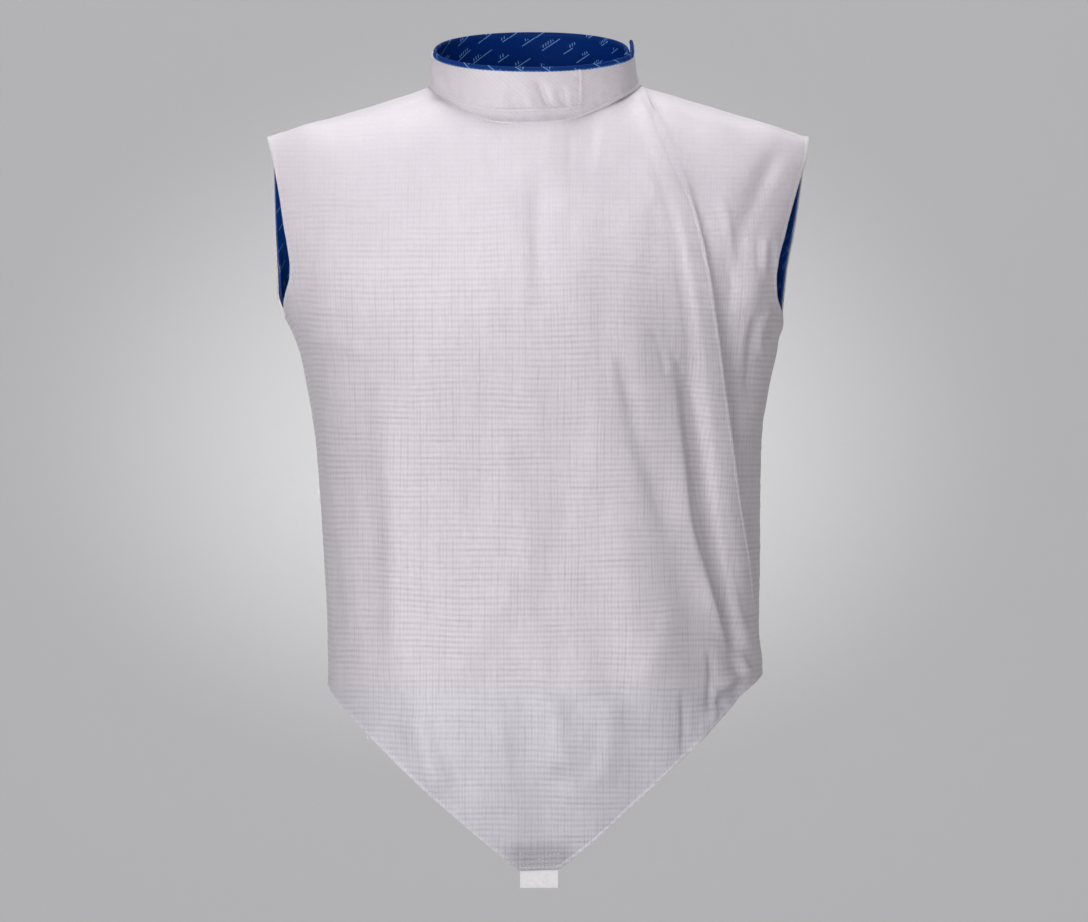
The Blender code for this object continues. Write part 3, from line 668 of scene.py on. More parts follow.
def nearSide(points, side, part):
    # Distance of each point from a side of the grid, and how far along that side the nearest place is.
    line = points[borders[side]]
    line = line[part(line)] if part else line
    long = runLengths(line)
    along = np.arange(0, long[-1], edges["step"])
    tree = KDTree(len(along))
    for i, point in enumerate(stack(*(np.interp(along, long, values) for values in line.T))):
        tree.insert(point, i)
    tree.balance()
    low, high = line.min(axis=0) - edges["reach"], line.max(axis=0) + edges["reach"]
    near = ((points > low) & (points < high)).all(axis=-1)
    found = [tree.find(point)[1:] for point in points[near]]
    distance, place = np.ones(points.shape[:-1]), np.zeros(points.shape[:-1])
    distance[near] = [gap for _, gap in found]
    place[near] = along[[index for index, _ in found]]
    return distance, place


def edgeRelief(distance, place, finish, seed):
    # How far the cloth is raised beside an edge or a seam.
    dice = np.random.default_rng(seed)
    waves = sum(np.sin(place * 2 * math.pi / wave + dice.uniform(0, 6.28)) for wave in edges["puckerWaves"])
    pucker = edges["pucker"] * waves / 2 * hump(distance, edges["puckerAt"], edges["puckerWidth"])
    if finish == "seam":
        ridge = edges["seamRidge"] * hump(distance, edges["seamRidgeAt"], edges["seamRidgeWidth"])
        dip = edges["seamDepth"] * hump(distance, 0, edges["seamWidth"])
        return ridge - dip + edges["seamPucker"] * pucker
    roll = edges["roll"] * ramp(distance, *edges["rollFrom"])
    roll = roll * (1 - ramp(distance, edges["rollWidth"], edges["groove"]))
    return roll - edges["grooveDepth"] * hump(distance, edges["groove"], edges["grooveWidth"]) + pucker


def lineAt(points, distance, wanted, side):
    # The line over a grid at a distance from one of its sides.
    if side in ("left", "right"):
        points, distance = points.transpose(1, 0, 2), distance.T
    if side in ("right", "foot"):
        points, distance = points[::-1], distance[::-1]
    found = []
    for c in range(points.shape[1]):
        past = np.flatnonzero(distance[:, c] >= wanted)
        if len(past) and past[0] > 0:
            r = past[0]
            part = (wanted - distance[r - 1, c]) / (distance[r, c] - distance[r - 1, c])
            found.append(points[r - 1, c] * (1 - part) + points[r, c] * part)
    return np.array(found)


def sewEdges(face, normal, sides, seed, pale=edges["pale"], soft={}):
    # Gives the outer points, how pale they are, and the lines of stitches along the edges. Soft holds, for a
    # side that isn't crisp all along, the share of its finish at each point.
    total, mark, found = np.zeros(face.shape[:2]), np.zeros(face.shape[:2]), []
    for number, (side, part, finish) in enumerate(sides):
        distance, place = nearSide(face, side, part)
        total = total + edgeRelief(distance, place, finish, seed + number) * soft.get(side, 1)
        if finish == "edge":
            # paleness beside an edge: partly wear, partly a painted highlight
            shown = 1 - ramp(distance, pale["start"], pale["foot" if side == "foot" else "side"])
            mark = np.maximum(mark, shown * soft.get(side, 1))
            found.append((side, distance))
    outer = face + normal * total[..., None]
    lifted = outer + normal * edges["stitchLift"]
    return outer, mark, [lineAt(lifted, distance, edges["groove"], side) for side, distance in found]


# Meshes

sharpFrom = math.radians(55)


def linked(name, mesh):
    thing = bpy.data.objects.new(name, mesh)
    bpy.context.scene.collection.objects.link(thing)
    return thing


def standsFor(piece, node):
    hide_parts(node)
    return piece


def pieceObject(name, points, faces, material, uv, marks):
    mesh = bpy.data.meshes.new(name)
    mesh.from_pydata(points.tolist(), [], faces)
    mesh.validate()
    mesh.shade_smooth()
    mesh.set_sharp_from_angle(angle=sharpFrom)
    corners = np.empty(len(mesh.loops), np.int32)
    mesh.loops.foreach_get("vertex_index", corners)
    mesh.uv_layers.new(name="cloth").data.foreach_set("uv", uv[corners].ravel().astype(np.float32))
    for mark, values in marks.items():
        field = mesh.attributes.new(mark, "FLOAT", "POINT")
        field.data.foreach_set("value", np.asarray(values, np.float32))
    mesh.materials.append(material)
    thing = linked(name, mesh)
    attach(thing, "root")
    return thing


def oddGrid(grid):
    # A grid with odd counts of rows and columns, so that every second one reaches its borders.
    keep = [np.arange(count) for count in grid.shape[:2]]
    keep = [k if len(k) % 2 else np.delete(k, len(k) // 2) for k in keep]
    return grid[np.ix_(*keep)]


def ringGrid(rows, sides):
    # Numbers of the points of rings, each one closed on its first point.
    at = np.arange(rows * sides).reshape(rows, sides)
    return np.concatenate([at, at[:, :1]], axis=1)


def gridFaces(at, order):
    corners = (at[:-1, :-1], at[1:, :-1], at[1:, 1:], at[:-1, 1:])
    return np.stack([corners[i].ravel() for i in order], axis=1).tolist()


def rimFaces(full, half):
    # Joins a border of the outer face to that of the inner one, which has every second point.
    return np.stack([full[:-2:2], full[1::2], full[2::2], half[1:], half[:-1]], axis=1).tolist()


def clothWall(name, outer, inner, place, material, **marks):
    # A wall of cloth: the outer face in full, the inner one with every second row and column.
    def bothFaces(grid, coarse, *tail):
        return np.concatenate([grid.reshape(-1, *tail), coarse.reshape(-1, *tail)])

    outer, inner, place = oddGrid(outer), oddGrid(inner)[::2, ::2], oddGrid(place)
    front = np.arange(outer[..., 0].size).reshape(outer.shape[:2])
    back = front.size + np.arange(inner[..., 0].size).reshape(inner.shape[:2])
    faces = gridFaces(front, (0, 1, 2, 3)) + gridFaces(back, (0, 3, 2, 1))
    faces += rimFaces(front[0], back[0]) + rimFaces(front[-1, ::-1], back[-1, ::-1])
    faces += rimFaces(front[::-1, 0], back[::-1, 0]) + rimFaces(front[:, -1], back[:, -1])
    marks = {mark: oddGrid(values) for mark, values in marks.items()}
    marks = {mark: bothFaces(values, values[::2, ::2]) for mark, values in marks.items()}
    points, uv = bothFaces(outer, inner, 3), bothFaces(place, place[::2, ::2], 2)
    return pieceObject(name, points, faces, material, uv, marks)


# Materials

noiseSpan = (0.3, 0.7)  # most of a noise lies between these values


class Wiring:
    # A new material, with short ways to add shader nodes to it.

    def __init__(self, name):
        self.material = bpy.data.materials.new(name)
        self.material.use_nodes = True
        self.tree = self.material.node_tree

    def add(self, kind, inputs=(), out=0, **settings):
        node = self.tree.nodes.new("ShaderNode" + kind)
        for key, value in settings.items():
            setattr(node, key, value)
        for socket, value in (inputs.items() if isinstance(inputs, dict) else enumerate(inputs)):
            self.put(node.inputs[socket], value)
        return node.outputs[out]

    def put(self, socket, value):
        if isinstance(value, bpy.types.NodeSocket):
            self.tree.links.new(value, socket)
        elif value is not None:
            socket.default_value = value

    def finish(self, inputs):
        for name, value in inputs.items():
            self.put(self.tree.nodes["Principled BSDF"].inputs[name], value)
        return self.material

    def math(self, operation, *values):
        return self.add("Math", values, operation=operation)

    def times(self, value, *others):
        for other in others:
            value = self.math("MULTIPLY", value, other)
        return value

    def mix(self, share, first, second):
        first, second = ((*c, 1) if isinstance(c, tuple) else c for c in (first, second))
        return self.add("Mix", {0: share, 6: first, 7: second}, out=2, data_type="RGBA")

    def scaled(self, colour, level):
        return self.add("VectorMath", {0: colour, "Scale": level}, operation="SCALE")

    def range(self, value, low, high, toLow=0.0, toHigh=1.0):
        return self.add("MapRange", (value, low, high, toLow, toHigh))

    def axes(self, vector):
        return self.add("SeparateXYZ", (vector,)).node.outputs

    def attribute(self, name):
        return self.add("Attribute", attribute_name=name, attribute_type="GEOMETRY", out=2)

    def place(self, turned=0.0, scale=1.0):
        # Metres across and up the cloth, turned if the cut is on the bias.
        uv = self.add("UVMap", uv_map="cloth")
        return self.add("Mapping", {0: uv, 2: (0, 0, turned), 3: (scale, scale, scale)})

    def stretched(self, vector, x, y):
        return self.add("Mapping", {0: vector, 3: (x, y, 1.0)})

    def noise(self, vector, scale, detail=2.0, out=0):
        return self.add("TexNoise", {"Vector": vector, "Scale": scale, "Detail": detail}, out=out)

    def grain(self, vector, scale, detail, low, high):
        # A noise spread over a range of levels.
        return self.range(self.noise(vector, scale, detail), *noiseSpan, low, high)

    def wave(self, value, period, operation="SINE"):
        return self.math(operation, self.math("MULTIPLY", value, 2 * math.pi / period))

    def ridge(self, value, period, sharp):
        # A crest of height 1 at every period, kept just above 0 between them, since it is raised to a power.
        crest = self.math("MULTIPLY_ADD", self.wave(value, period, "COSINE"), 0.4999, 0.5)
        return self.math("POWER", crest, sharp)

    def bumps(self, *layers):
        # Layers of (height, distance, strength), one on the other.
        normal = None
        for height, distance, strength in layers:
            inputs = {"Strength": strength, "Distance": distance, "Height": height, "Normal": normal}
            normal = self.add("Bump", inputs)
        return normal


foilLook = {
    "colour": (0.690, 0.648, 0.686),
    # pale rolled edges: partly wear, partly a painted highlight
    "pale": (0.82, 0.80, 0.82),  # at the rolled edges
    "paleShare": 0.42,
    "hemTint": (0.955, 0.975, 1.0),
    "hemFrom": (-0.4965, -0.5035),
    "metallic": 0.20,
    "roughness": (0.54, 0.68),
    "strays": ((60.0, 2.0, (0.0005, 0.0005)), (8.0, 1.0, (0.003, 0.006))),  # scale, detail, reach of each
    "warp": 0.0054,
    "weft": 0.0047,
    "warpDark": 0.058,
    "weftDark": 0.108,
    # the net fades towards the shoulders as painted light, where the light washes it out
    "shown": (-0.03, -0.20, 0.14, 1.0),  # heights, and how much of the net shows there
    "streak": 0.030,
    # how dark the painted shade over the loop's stitched box is
    "worn": 0.22,
    "yarn": (0.0007, 0.0006),
}


def foilMaterial(name, turned=0.0, scale=1.0, shade=1.0, clear=None):
    # Silvery cloth: a woven metal yarn with a soft net of sunken lines. The net fades towards the shoulders
    # as painted light, standing for the light that washes it out there.
    look, w = foilLook, Wiring(name)
    place = w.place(turned, scale)
    moved = place
    for size, detail, (reachX, reachY) in look["strays"]:
        stray = (w.noise(place, size, detail, out=1), (2 * reachX, 2 * reachY, 0), (-reachX, -reachY, 0))
        stray = w.add("VectorMath", stray, operation="MULTIPLY_ADD")
        moved = w.add("VectorMath", (moved, stray), operation="ADD")
    across, up, _ = w.axes(moved)
    height = w.axes(w.add("TexCoord", out=3))[2]
    # painted light: the net fades with height, unless a fixed share is given
    shown = w.range(height, *look["shown"]) if clear is None else clear
    patch = w.noise(place, 26.0)
    warp, half = w.ridge(across, look["warp"], 1.6), w.ridge(across, look["warp"] / 2, 1.2)
    blotch = w.grain(w.stretched(place, 1.0, 0.16), 110.0, 3.0, 0.3, 1.7)
    warp = w.math("MULTIPLY_ADD", warp, 0.55, half)
    warp = w.times(warp, blotch, w.range(patch, 0.35, 0.65, 1.3, 0.7), shown)
    band = w.grain(w.stretched(place, 0.16, 1.0), 120.0, 3.0, 0.5, 1.5)
    weft = w.times(w.ridge(up, look["weft"], 1.25), band, w.range(patch, 0.35, 0.65, 0.7, 1.3), shown)
    dark = w.math("MULTIPLY_ADD", warp, look["warpDark"], w.times(weft, look["weftDark"]))
    streak = w.noise(w.stretched(place, 1.0, 0.15), 520.0)
    streak = w.times(w.range(streak, 0.35, 0.72, -look["streak"], look["streak"]), shown)
    # painted shade over the stitched box where the loop is sewn on
    dark = w.math("MULTIPLY_ADD", w.attribute("worn"), look["worn"], w.math("SUBTRACT", dark, streak))
    level = w.times(w.math("SUBTRACT", 1.0, dark), w.grain(place, 9.0, 4.0, 0.975, 1.022),
                    w.grain(place, 900.0, 2.0, 0.96, 1.04))
    base = tuple(c * shade for c in look["colour"])
    tinted = tuple(c * t for c, t in zip(base, look["hemTint"]))
    colour = w.mix(w.range(height, *look["hemFrom"]), base, tinted)
    # rolled edges paler: partly wear, partly a painted highlight
    colour = w.mix(w.times(w.attribute("edge"), look["paleShare"]), colour, look["pale"])
    sunken = w.math("SUBTRACT", 1.0, w.math("MULTIPLY_ADD", warp, 0.7, weft))
    grainy = w.noise(place, 420.0, 3.0)
    yarn = w.times(w.wave(across, look["yarn"][0]), w.wave(up, look["yarn"][1]))
    return w.finish({
        "Base Color": w.scaled(colour, level),
        "Metallic": look["metallic"],
        "Roughness": w.grain(place, 260.0, 3.0, *look["roughness"]),
        "Sheen Weight": 0.06,
        "Sheen Roughness": 0.4,
        "Normal": w.bumps((sunken, 0.00009, 0.7), (grainy, 0.00018, 0.5), (yarn, 0.00004, 0.5)),
    })


liningLook = {
    # The collar's colour is darkened as painted shade inside the collar, and the body's is brightened as
    # painted light in the armholes; both are the same satin.
    "collar": (0.0004, 0.022, 0.160),
    "body": (0.004, 0.052, 0.270),
    "binding": (0.004, 0.030, 0.165),
    "border": (0.20, 0.32, 0.62),
    "mark": (0.17, 0.34, 0.66),
    "cell": (0.030, 0.0125),
    "slant": math.radians(34),
    "soft": (0.0002, -0.0002),
    "strokeLong": (0.004, 0.0125),
    "strokeHalf": (0.00050, 0.00028),
    "tickPitch": 0.0026,
    "tickShown": (0.62, 0.78),
    "tickUp": 0.0027,
    "tickHalf": (0.0013, 0.0011),
    "tickRun": 0.0065,
    "tickStray": (0.012, -0.006),
    "twill": 0.0006,
}


def liningMaterial(name, part):
    # Blue satin with a plain motif of short slanting strokes and small ticks.
    look, w = liningLook, Wiring(name)
    wide, tall = look["cell"]
    flat = w.place()
    across, up, _ = w.axes(w.place(look["slant"]))
    line = w.math("FLOOR", w.math("DIVIDE", up, tall))
    shift = w.add("TexWhiteNoise", {1: line}, noise_dimensions="1D")
    across = w.math("MULTIPLY_ADD", shift, wide, across)
    cell = w.add("CombineXYZ", (w.math("FLOOR", w.math("DIVIDE", across, wide)), line))
    first, second, third = w.axes(w.add("TexWhiteNoise", {0: cell}, out=1, noise_dimensions="2D"))
    inX, inY = (w.times(w.math("SUBTRACT", w.math("FRACT", w.math("DIVIDE", value, size)), 0.5), size)
                for value, size in ((across, wide), (up, tall)))

    def within(value, reach):
        # 1 where the value lies between the reach and its negative.
        return w.range(w.math("SUBTRACT", w.math("ABSOLUTE", value), reach), *look["soft"])

    stroke = w.times(w.range(w.math("ABSOLUTE", inY), *look["strokeHalf"]),
                     within(inX, w.range(first, 0.0, 1.0, *look["strokeLong"])))
    off = w.math("SUBTRACT", inX, w.math("MULTIPLY_ADD", second, *look["tickStray"]))
    leaning = w.math("MULTIPLY_ADD", inY, 0.5, inX)
    ticks = w.times(w.range(w.ridge(leaning, look["tickPitch"], 1.0), *look["tickShown"]),
                    w.range(w.math("ABSOLUTE", w.math("SUBTRACT", inY, look["tickUp"])), *look["tickHalf"]),
                    within(off, w.times(third, look["tickRun"])))
    colour = w.mix(w.times(w.math("MAXIMUM", stroke, ticks), 0.8), look[part], look["mark"])
    if part == "binding":  # a paler, flecked turn along its lower border
        fleck = w.range(w.noise(w.stretched(flat, 1.0, 0.3), 150.0, 3.0), 0.42, 0.62, 0.42, 1.0)
        colour = w.mix(w.times(w.attribute("edge"), fleck), colour, look["border"])
    twill = w.wave(w.axes(flat)[1], look["twill"])
    return w.finish({
        "Base Color": w.scaled(colour, w.grain(flat, 700.0, 2.0, 0.9, 1.1)),
        "Roughness": 0.55,
        "Specular IOR Level": 0.03,
        "Normal": w.bumps((w.noise(flat, 45.0, 3.0), 0.0012, 0.5), (twill, 0.00003, 0.4)),
    })


webbingLook = {"colour": (0.90, 0.88, 0.90), "rib": 0.0010, "warp": 0.00055, "sway": 0.0001}


def webbingMaterial(name):
    # White webbing with ribs across it and a fine warp.
    look, w = webbingLook, Wiring(name)
    place = w.place()
    across, up, _ = w.axes(place)
    ribs = w.ridge(up, look["rib"], 1.6)
    warp = w.ridge(w.math("MULTIPLY_ADD", ribs, look["sway"], across), look["warp"], 2.0)
    net = w.math("MULTIPLY_ADD", warp, 0.5, ribs)
    level = w.times(w.range(net, 0.0, 1.5, 1.03, 0.88), w.grain(place, 240.0, 2.0, 0.95, 1.04))
    return w.finish({
        "Base Color": w.scaled(look["colour"], level),
        "Roughness": 0.78,
        "Sheen Weight": 0.2,
        "Normal": w.bumps((net, -0.00016, 0.8)),
    })


def threadMaterial(name, colour):
    # Sewing thread: twisted, slightly glossy.
    w = Wiring(name)
    wave = {"Vector": w.add("TexCoord", out=3), "Scale": 900.0, "Distortion": 2.0}
    twist = w.add("TexWave", wave, out=1, bands_direction="DIAGONAL")
    return w.finish({
        "Base Color": w.scaled(colour, w.range(twist, 0.0, 1.0, 0.85, 1.05)),
        "Roughness": 0.45,
        "Normal": w.bumps((twist, 0.00006, 0.6)),
    })


foil = foilMaterial("foil cloth")
foilBias = foilMaterial("foil cloth on the bias", turned=math.radians(45), scale=1.45, shade=0.97,
                        clear=0.38)
# the collar's lining with painted shade, the body's with painted light
shadedCollarSatin = liningMaterial("blue lining", "collar")
litBodySatin = liningMaterial("blue body lining with painted light", "body")
binding = liningMaterial("blue binding", "binding")
webbing = webbingMaterial("white webbing")
thread = threadMaterial("silver thread", (0.74, 0.72, 0.75))
blueThread = threadMaterial("pale blue thread", (0.42, 0.58, 0.86))
print("materials made")


# Stitches along lines, by Geometry Nodes

stitchSizes = {"Pitch": 0.0036, "Length": 0.0027, "Thickness": 0.00048}


def stitchTree():
    tree = bpy.data.node_groups.new("stitches along lines", "GeometryNodeTree")
    sockets = {"Geometry": "Geometry", **dict.fromkeys(stitchSizes, "Float"), "Thread": "Material"}
    ids = {}
    for name, kind in sockets.items():
        socket = tree.interface.new_socket(name, in_out="INPUT", socket_type="NodeSocket" + kind)
        ids[name] = socket.identifier
    tree.interface.new_socket("Geometry", in_out="OUTPUT", socket_type="NodeSocketGeometry")
    kinds = {
        "given": "NodeGroupInput",
        "lines": "GeometryNodeMeshToCurve",
        "spread": "GeometryNodeCurveToPoints",
        "ball": "GeometryNodeMeshUVSphere",
        "size": "ShaderNodeCombineXYZ",
        "copies": "GeometryNodeInstanceOnPoints",
        "real": "GeometryNodeRealizeInstances",
        "smooth": "GeometryNodeSetShadeSmooth",
        "finish": "GeometryNodeSetMaterial",
        "out": "NodeGroupOutput",
    }
    nodes = {name: tree.nodes.new(kind) for name, kind in kinds.items()}
    nodes["spread"].mode = "LENGTH"
    for name, value in (("Segments", 6), ("Rings", 5), ("Radius", 0.5)):
        nodes["ball"].inputs[name].default_value = value
    links = (
        ("given", "Geometry", "lines", 0),
        ("lines", 0, "spread", "Curve"),
        ("given", "Pitch", "spread", "Length"),
        ("spread", "Points", "copies", "Points"),
        ("spread", "Rotation", "copies", "Rotation"),
        ("ball", "Mesh", "copies", "Instance"),
        ("given", "Thickness", "size", 0),
        ("given", "Thickness", "size", 1),
        ("given", "Length", "size", 2),
        ("size", 0, "copies", "Scale"),
        ("copies", 0, "real", 0),
        ("real", 0, "smooth", 0),
        ("smooth", 0, "finish", 0),
        ("given", "Thread", "finish", "Material"),
        ("finish", 0, "out", 0),
    )
    for start, outlet, end, inlet in links:
        tree.links.new(nodes[start].outputs[outlet], nodes[end].inputs[inlet])
    return tree, ids


stitcher, stitchIds = stitchTree()


def addStitches(name, lines, material=thread, sizes=stitchSizes):
    points, joins = [], []
    for line in lines:
        if len(line) > 1:
            first = len(points)
            points += line.tolist()
            joins += [(i, i + 1) for i in range(first, len(points) - 1)]
    mesh = bpy.data.meshes.new(name + "Lines")
    mesh.from_pydata(points, joins, [])
    path = linked(name + "Lines", mesh)
    modifier = path.modifiers.new("stitches", "NODES")
    modifier.node_group = stitcher
    for key, value in {**sizes, "Thread": material}.items():
        modifier[stitchIds[key]] = value
    made = bpy.data.meshes.new_from_object(path.evaluated_get(bpy.context.evaluated_depsgraph_get()))
    bpy.data.objects.remove(path)
    made.name = name
    if not made.materials:
        made.materials.append(material)
    thing = linked(name, made)
    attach(thing, "root")
    return thing


# Panels

def shellPanel(name, node, columns, form):
    # Outer panel: body, folds, edges and seams.
    turn, z = panelGrid(columns, form)
    base, normal = bodyPoint(turn, z), bodyNormal(turn, z)
    raised = form["relief"](base[..., 0], z)
    for side, part, finish in form["sides"]:
        if finish == "seam":
            raised = raised * ramp(nearSide(base, side, part)[0], 0, edges["seamClear"])
    face = base + normal * raised[..., None]
    soft = {side: ramp(z, *edges["softAbove"]) for side in form["softSides"]}
    outer, mark, lines = sewEdges(face, normal, form["sides"], form["seed"], soft=soft)
    # painted shade over the loop's stitched box, on the front only
    worn = wornShare(base[..., 0], z) if form["half"] == "front" else 0 * z
    place = clothPlace(turn, z, form["half"] == "back")
    panel = clothWall(name, outer, face - normal * cloth["shell"], place, foil, edge=mark, worn=worn)
    return standsFor(panel, node), lines


def lowestFold(relief, x, z, reach=0.005):
    # Deepest dip of the shell near each point of the coarser lining under it.
    steps = ((0, 0), (-reach, 0), (reach, 0), (0, -reach), (0, reach))
    return np.minimum.reduce([0 * x] + [relief(x + aside, z + up) for aside, up in steps])


def liningPanel(name, node, columns, form):
    turn, z = panelGrid(columns, form, liningRows, outline["liningInset"])
    base, normal = bodyPoint(turn, z), bodyNormal(turn, z)
    dip = lowestFold(form["underRelief"], base[..., 0], z)
    outer = base + normal * (dip - cloth["shell"] - cloth["liningGap"])[..., None]
    place = clothPlace(turn, z, form["half"] == "back")
    panel = clothWall(name, outer, outer - normal * cloth["lining"], place, litBodySatin)
    return standsFor(panel, node)


def addPanel(names, nodes, form, shellColumns, liningColumns):
    panel, lines = shellPanel(names[0], nodes[0], shellColumns, form)
    sewing = addStitches(names[1], lines)
    return panel, sewing, liningPanel(names[2], nodes[1], liningColumns, form)


def frontRelief(x, z):
    past, groove = lapEdge(z) - x, outline["bandGroove"]
    dent = groove["depth"] * hump(past, groove["inset"], groove["width"])
    dent = dent * ramp(z, *groove["top"]) * ramp(z, *groove["foot"])
    main = np.maximum(foldHeight(frontMain, x, z), -frontDepth * ramp(past, *outline["dipFrom"]))
    total = main + foldHeight(frontCreases, x, z, fade=0.34) + unevenness(x, z, seed=4)
    total = total - dent + flapLift(x, z)
    tuck = tuckShare(x, z, past)
    return total * (1 - tuck) + outline["tuckDepth"] * tuck


def sideRelief(x, z):
    past, flat = x - lapEdge(z), outline["underFlat"]
    clear = 1 - flat["share"] * ramp(past, *flat["over"])
    clear = clear * (1 - ramp(z, *outline["tuckFrom"]) * ramp(past, *flat["tucked"]))
    folds = foldHeight(sideCreases, x, z) + unevenness(x, z, seed=9, size=0.0006)
    return np.maximum(folds, sideDepth) * clear


def underRelief(x, z):
    # The side's lining also runs on under the front, and dips with both.
    return np.minimum(sideRelief(x, z), frontRelief(x, z) * ramp(lapEdge(z) - x, *outline["underFront"]))


def backRelief(x, z):
    folds = np.maximum(foldHeight(backMain, x, z), 0) + foldHeight(backCreases, x, z)
    return (folds + unevenness(x, z, seed=15)) * ramp(topLine(x, "back") - z, 0, outline["backClear"])


# painted shade: the cloth is darkened where the loop is sewn on, over its stitched box
boxShadeArea = {"middle": 0.001, "half": 0.027, "top": -0.628, "soft": 0.011}


def wornShare(x, z):
    aside, soft = abs(x - boxShadeArea["middle"]) - boxShadeArea["half"], boxShadeArea["soft"]
    return ramp(aside, soft, -soft) * ramp(z, boxShadeArea["top"] + soft / 2, boxShadeArea["top"] - soft / 2)


def underArm(side):
    return lambda line: line[:, 2] < outline["armBottom"][side] + outline["armOverlap"]


def overArm(side):
    return lambda line: line[:, 2] > outline["armBottom"][side] - outline["armOverlap"]


def onShoulder(line):
    return abs(line[:, 0] - bodyForm["neckX"]) > bodyForm["neckHalf"]


# sides of each panel's grid: (side, the part of it that is meant, edge or seam)
frontForm = {
    "half": "front",
    "hem": frontHem,
    "corners": ("Right", "Left"),
    "relief": frontRelief,
    "underRelief": frontRelief,
    "sides": (("left", overArm("Right"), "edge"), ("right", None, "edge"), ("foot", None, "edge"),
              ("left", underArm("Right"), "seam"), ("top", onShoulder, "seam")),
    "softSides": ("right",),
    "seed": 10,
}
sideForm = {
    "half": "front",
    "hem": levelHem,
    "corners": ("Left", "Left"),
    "relief": sideRelief,
    "underRelief": underRelief,
    "sides": (("right", overArm("Left"), "edge"), ("foot", None, "edge"),
              ("right", underArm("Left"), "seam"), ("top", None, "seam")),
    "softSides": (),
    "seed": 14,
}
backForm = {
    "half": "back",
    "hem": sideHem,
    "corners": ("Left", "Right"),
    "relief": backRelief,
    "underRelief": backRelief,
    "sides": (("left", overArm("Left"), "edge"), ("right", overArm("Right"), "edge"),
              ("foot", None, "edge"), ("left", underArm("Left"), "seam"),
              ("right", underArm("Right"), "seam"), ("top", onShoulder, "seam")),
    "softSides": (),
    "seed": 9,
}
frontPanel, frontStitches, frontLining = addPanel(
    ("frontPanel", "frontStitches", "frontLining"), ("front_panel", "front_lining"), frontForm,
    sideBySide(columnsBetween(frontColumns(46, 40, 62, closing["arm"]), rightEdge, bandEdge),
               columnsInset(flapWidth * (1 - np.array(outline["flapShares"])))),
    columnsBetween(frontColumns(20, 20, 34), rightEdge, lambda z, soft: bandEdge(z, gap=-cloth["seamGap"])))
print("front made")
sideColumns = columnsBetween(evenShares(50, 0, closing["sideArm"])[1:], pastLapEdge, leftEdge)
sidePanel, sideStitches, sideLining = addPanel(
    ("sideFrontPanel", "sideStitches", "sideFrontLining"), ("side_front_panel", "side_front_lining"),
    sideForm, sideBySide(columnsUnder(), sideColumns),
    sideBySide(columnsInset((flapWidth - cloth["seamGap"], outline["underInset"])),
               columnsBetween(evenShares(37), underlapEdge, leftEdge)))
backPanel, backStitches, backLining = addPanel(
    ("backPanel", "backStitches", "backLining"), ("back_panel", "back_lining"), backForm,
    columnsBetween(backColumns(48, 34, closing["arm"]), backStart, backEnd),
    columnsBetween(backColumns(20, 16), backStart, backEnd))
print("side and back made")

# Collar, as in the solids, with its wrinkles

collarForm = {
    "centre": (-0.004, -0.011),
    "rimCentre": (-0.004, -0.0125),
    "rimHalfWidth": 0.0838,
    "rimLeftIn": 0.0030,
    "rimHalfDepth": 0.0675,
    "rimPower": 2.15,
    "rimHeight": 0.0262,
    "rimSlope": 0.300,
    "bulge": 0.0015,
    "flare": 3.6,
    "foot": -0.025,
    "footLift": 0.0006,
    "footLiftFrom": (-0.03, 0.10),
    "liningFoot": 0.030,
    "ends": (math.radians(78), math.radians(458)),
    "lift": 0.0036,
    "liftSpan": (math.radians(400), math.radians(432)),
    "easeDown": 0.05,
    "earRise": 0.006,
    "earTurn": math.radians(14),
    "liningGap": 0.0005,
    "strapTurns": (math.radians(-112), math.radians(29)),
    "strapFoot": (0.10, 0.13),
    "around": 0.080,  # metres of cloth for a turn of one radian
    "tall": 0.050,
}
# folds on the flat collar, across from the middle of the front and up from its foot
collarWrinkles = (
    ([(-15, 8), (-16, 28), (-14, 46)], 3, 4, -1.5),
    ([(4, 46), (8, 30), (14, 12)], 3, 4, -1.9),
    ([(-104, 46), (-98, 28), (-88, 6)], 6, 9, 1.6),
    ([(-82, 44), (-78, 26), (-70, 8)], 5, 5, -1.1),
    ([(-2, 44), (-4, 30), (2, 12)], 4, 4, 0.9),
    ([(22, 38), (24, 26), (26, 12)], 5, 3, -1.5),
    ([(-44, 10), (-40, 26), (-42, 44)], 5, 5, 0.8),
    ([(-66, 12), (-62, 30), (-66, 46)], 5, 6, -0.8),
    ([(46, 8), (50, 26), (47, 44)], 5, 5, 0.9),
    ([(70, 8), (72, 28), (69, 46)], 5, 6, -0.7),
    ([(120, 8), (126, 28), (122, 46)], 6, 6, 0.9),
    ([(190, 8), (186, 28), (190, 46)], 6, 6, -0.9),
    ([(250, 8), (255, 28), (250, 46)], 7, 6, 1.0),
    ([(320, 8), (316, 28), (322, 46)], 6, 6, -0.8),
    ([(400, 8), (404, 28), (402, 46)], 6, 6, 0.9),
    ([(440, 8), (436, 28), (442, 46)], 5, 6, -0.9),
    ([(560, 8), (564, 28), (560, 46)], 6, 6, 0.7),
)


def neckLoop():
    # Turn and place of points round the neck, where the collar's foot is sewn on.
    part = np.linspace(-1, 1, 401)
    x = bodyForm["neckX"] + bodyForm["neckHalf"] * np.sign(part) * (1 - (1 - abs(part)) ** 2)
    frontZ, backZ = neckLine(x, "front"), neckLine(x, "back")
    back = bodyPoint(math.pi - turnOf(x, backZ), backZ)
    points = np.concatenate([bodyPoint(turnOf(x, frontZ), frontZ), back[::-1]])
    plan = np.arctan2(points[:, 0] - collarForm["centre"][0], collarForm["centre"][1] - points[:, 1])
    order = np.argsort(plan)
    return plan[order], points[order]


neckPlan, neckPoints = neckLoop()


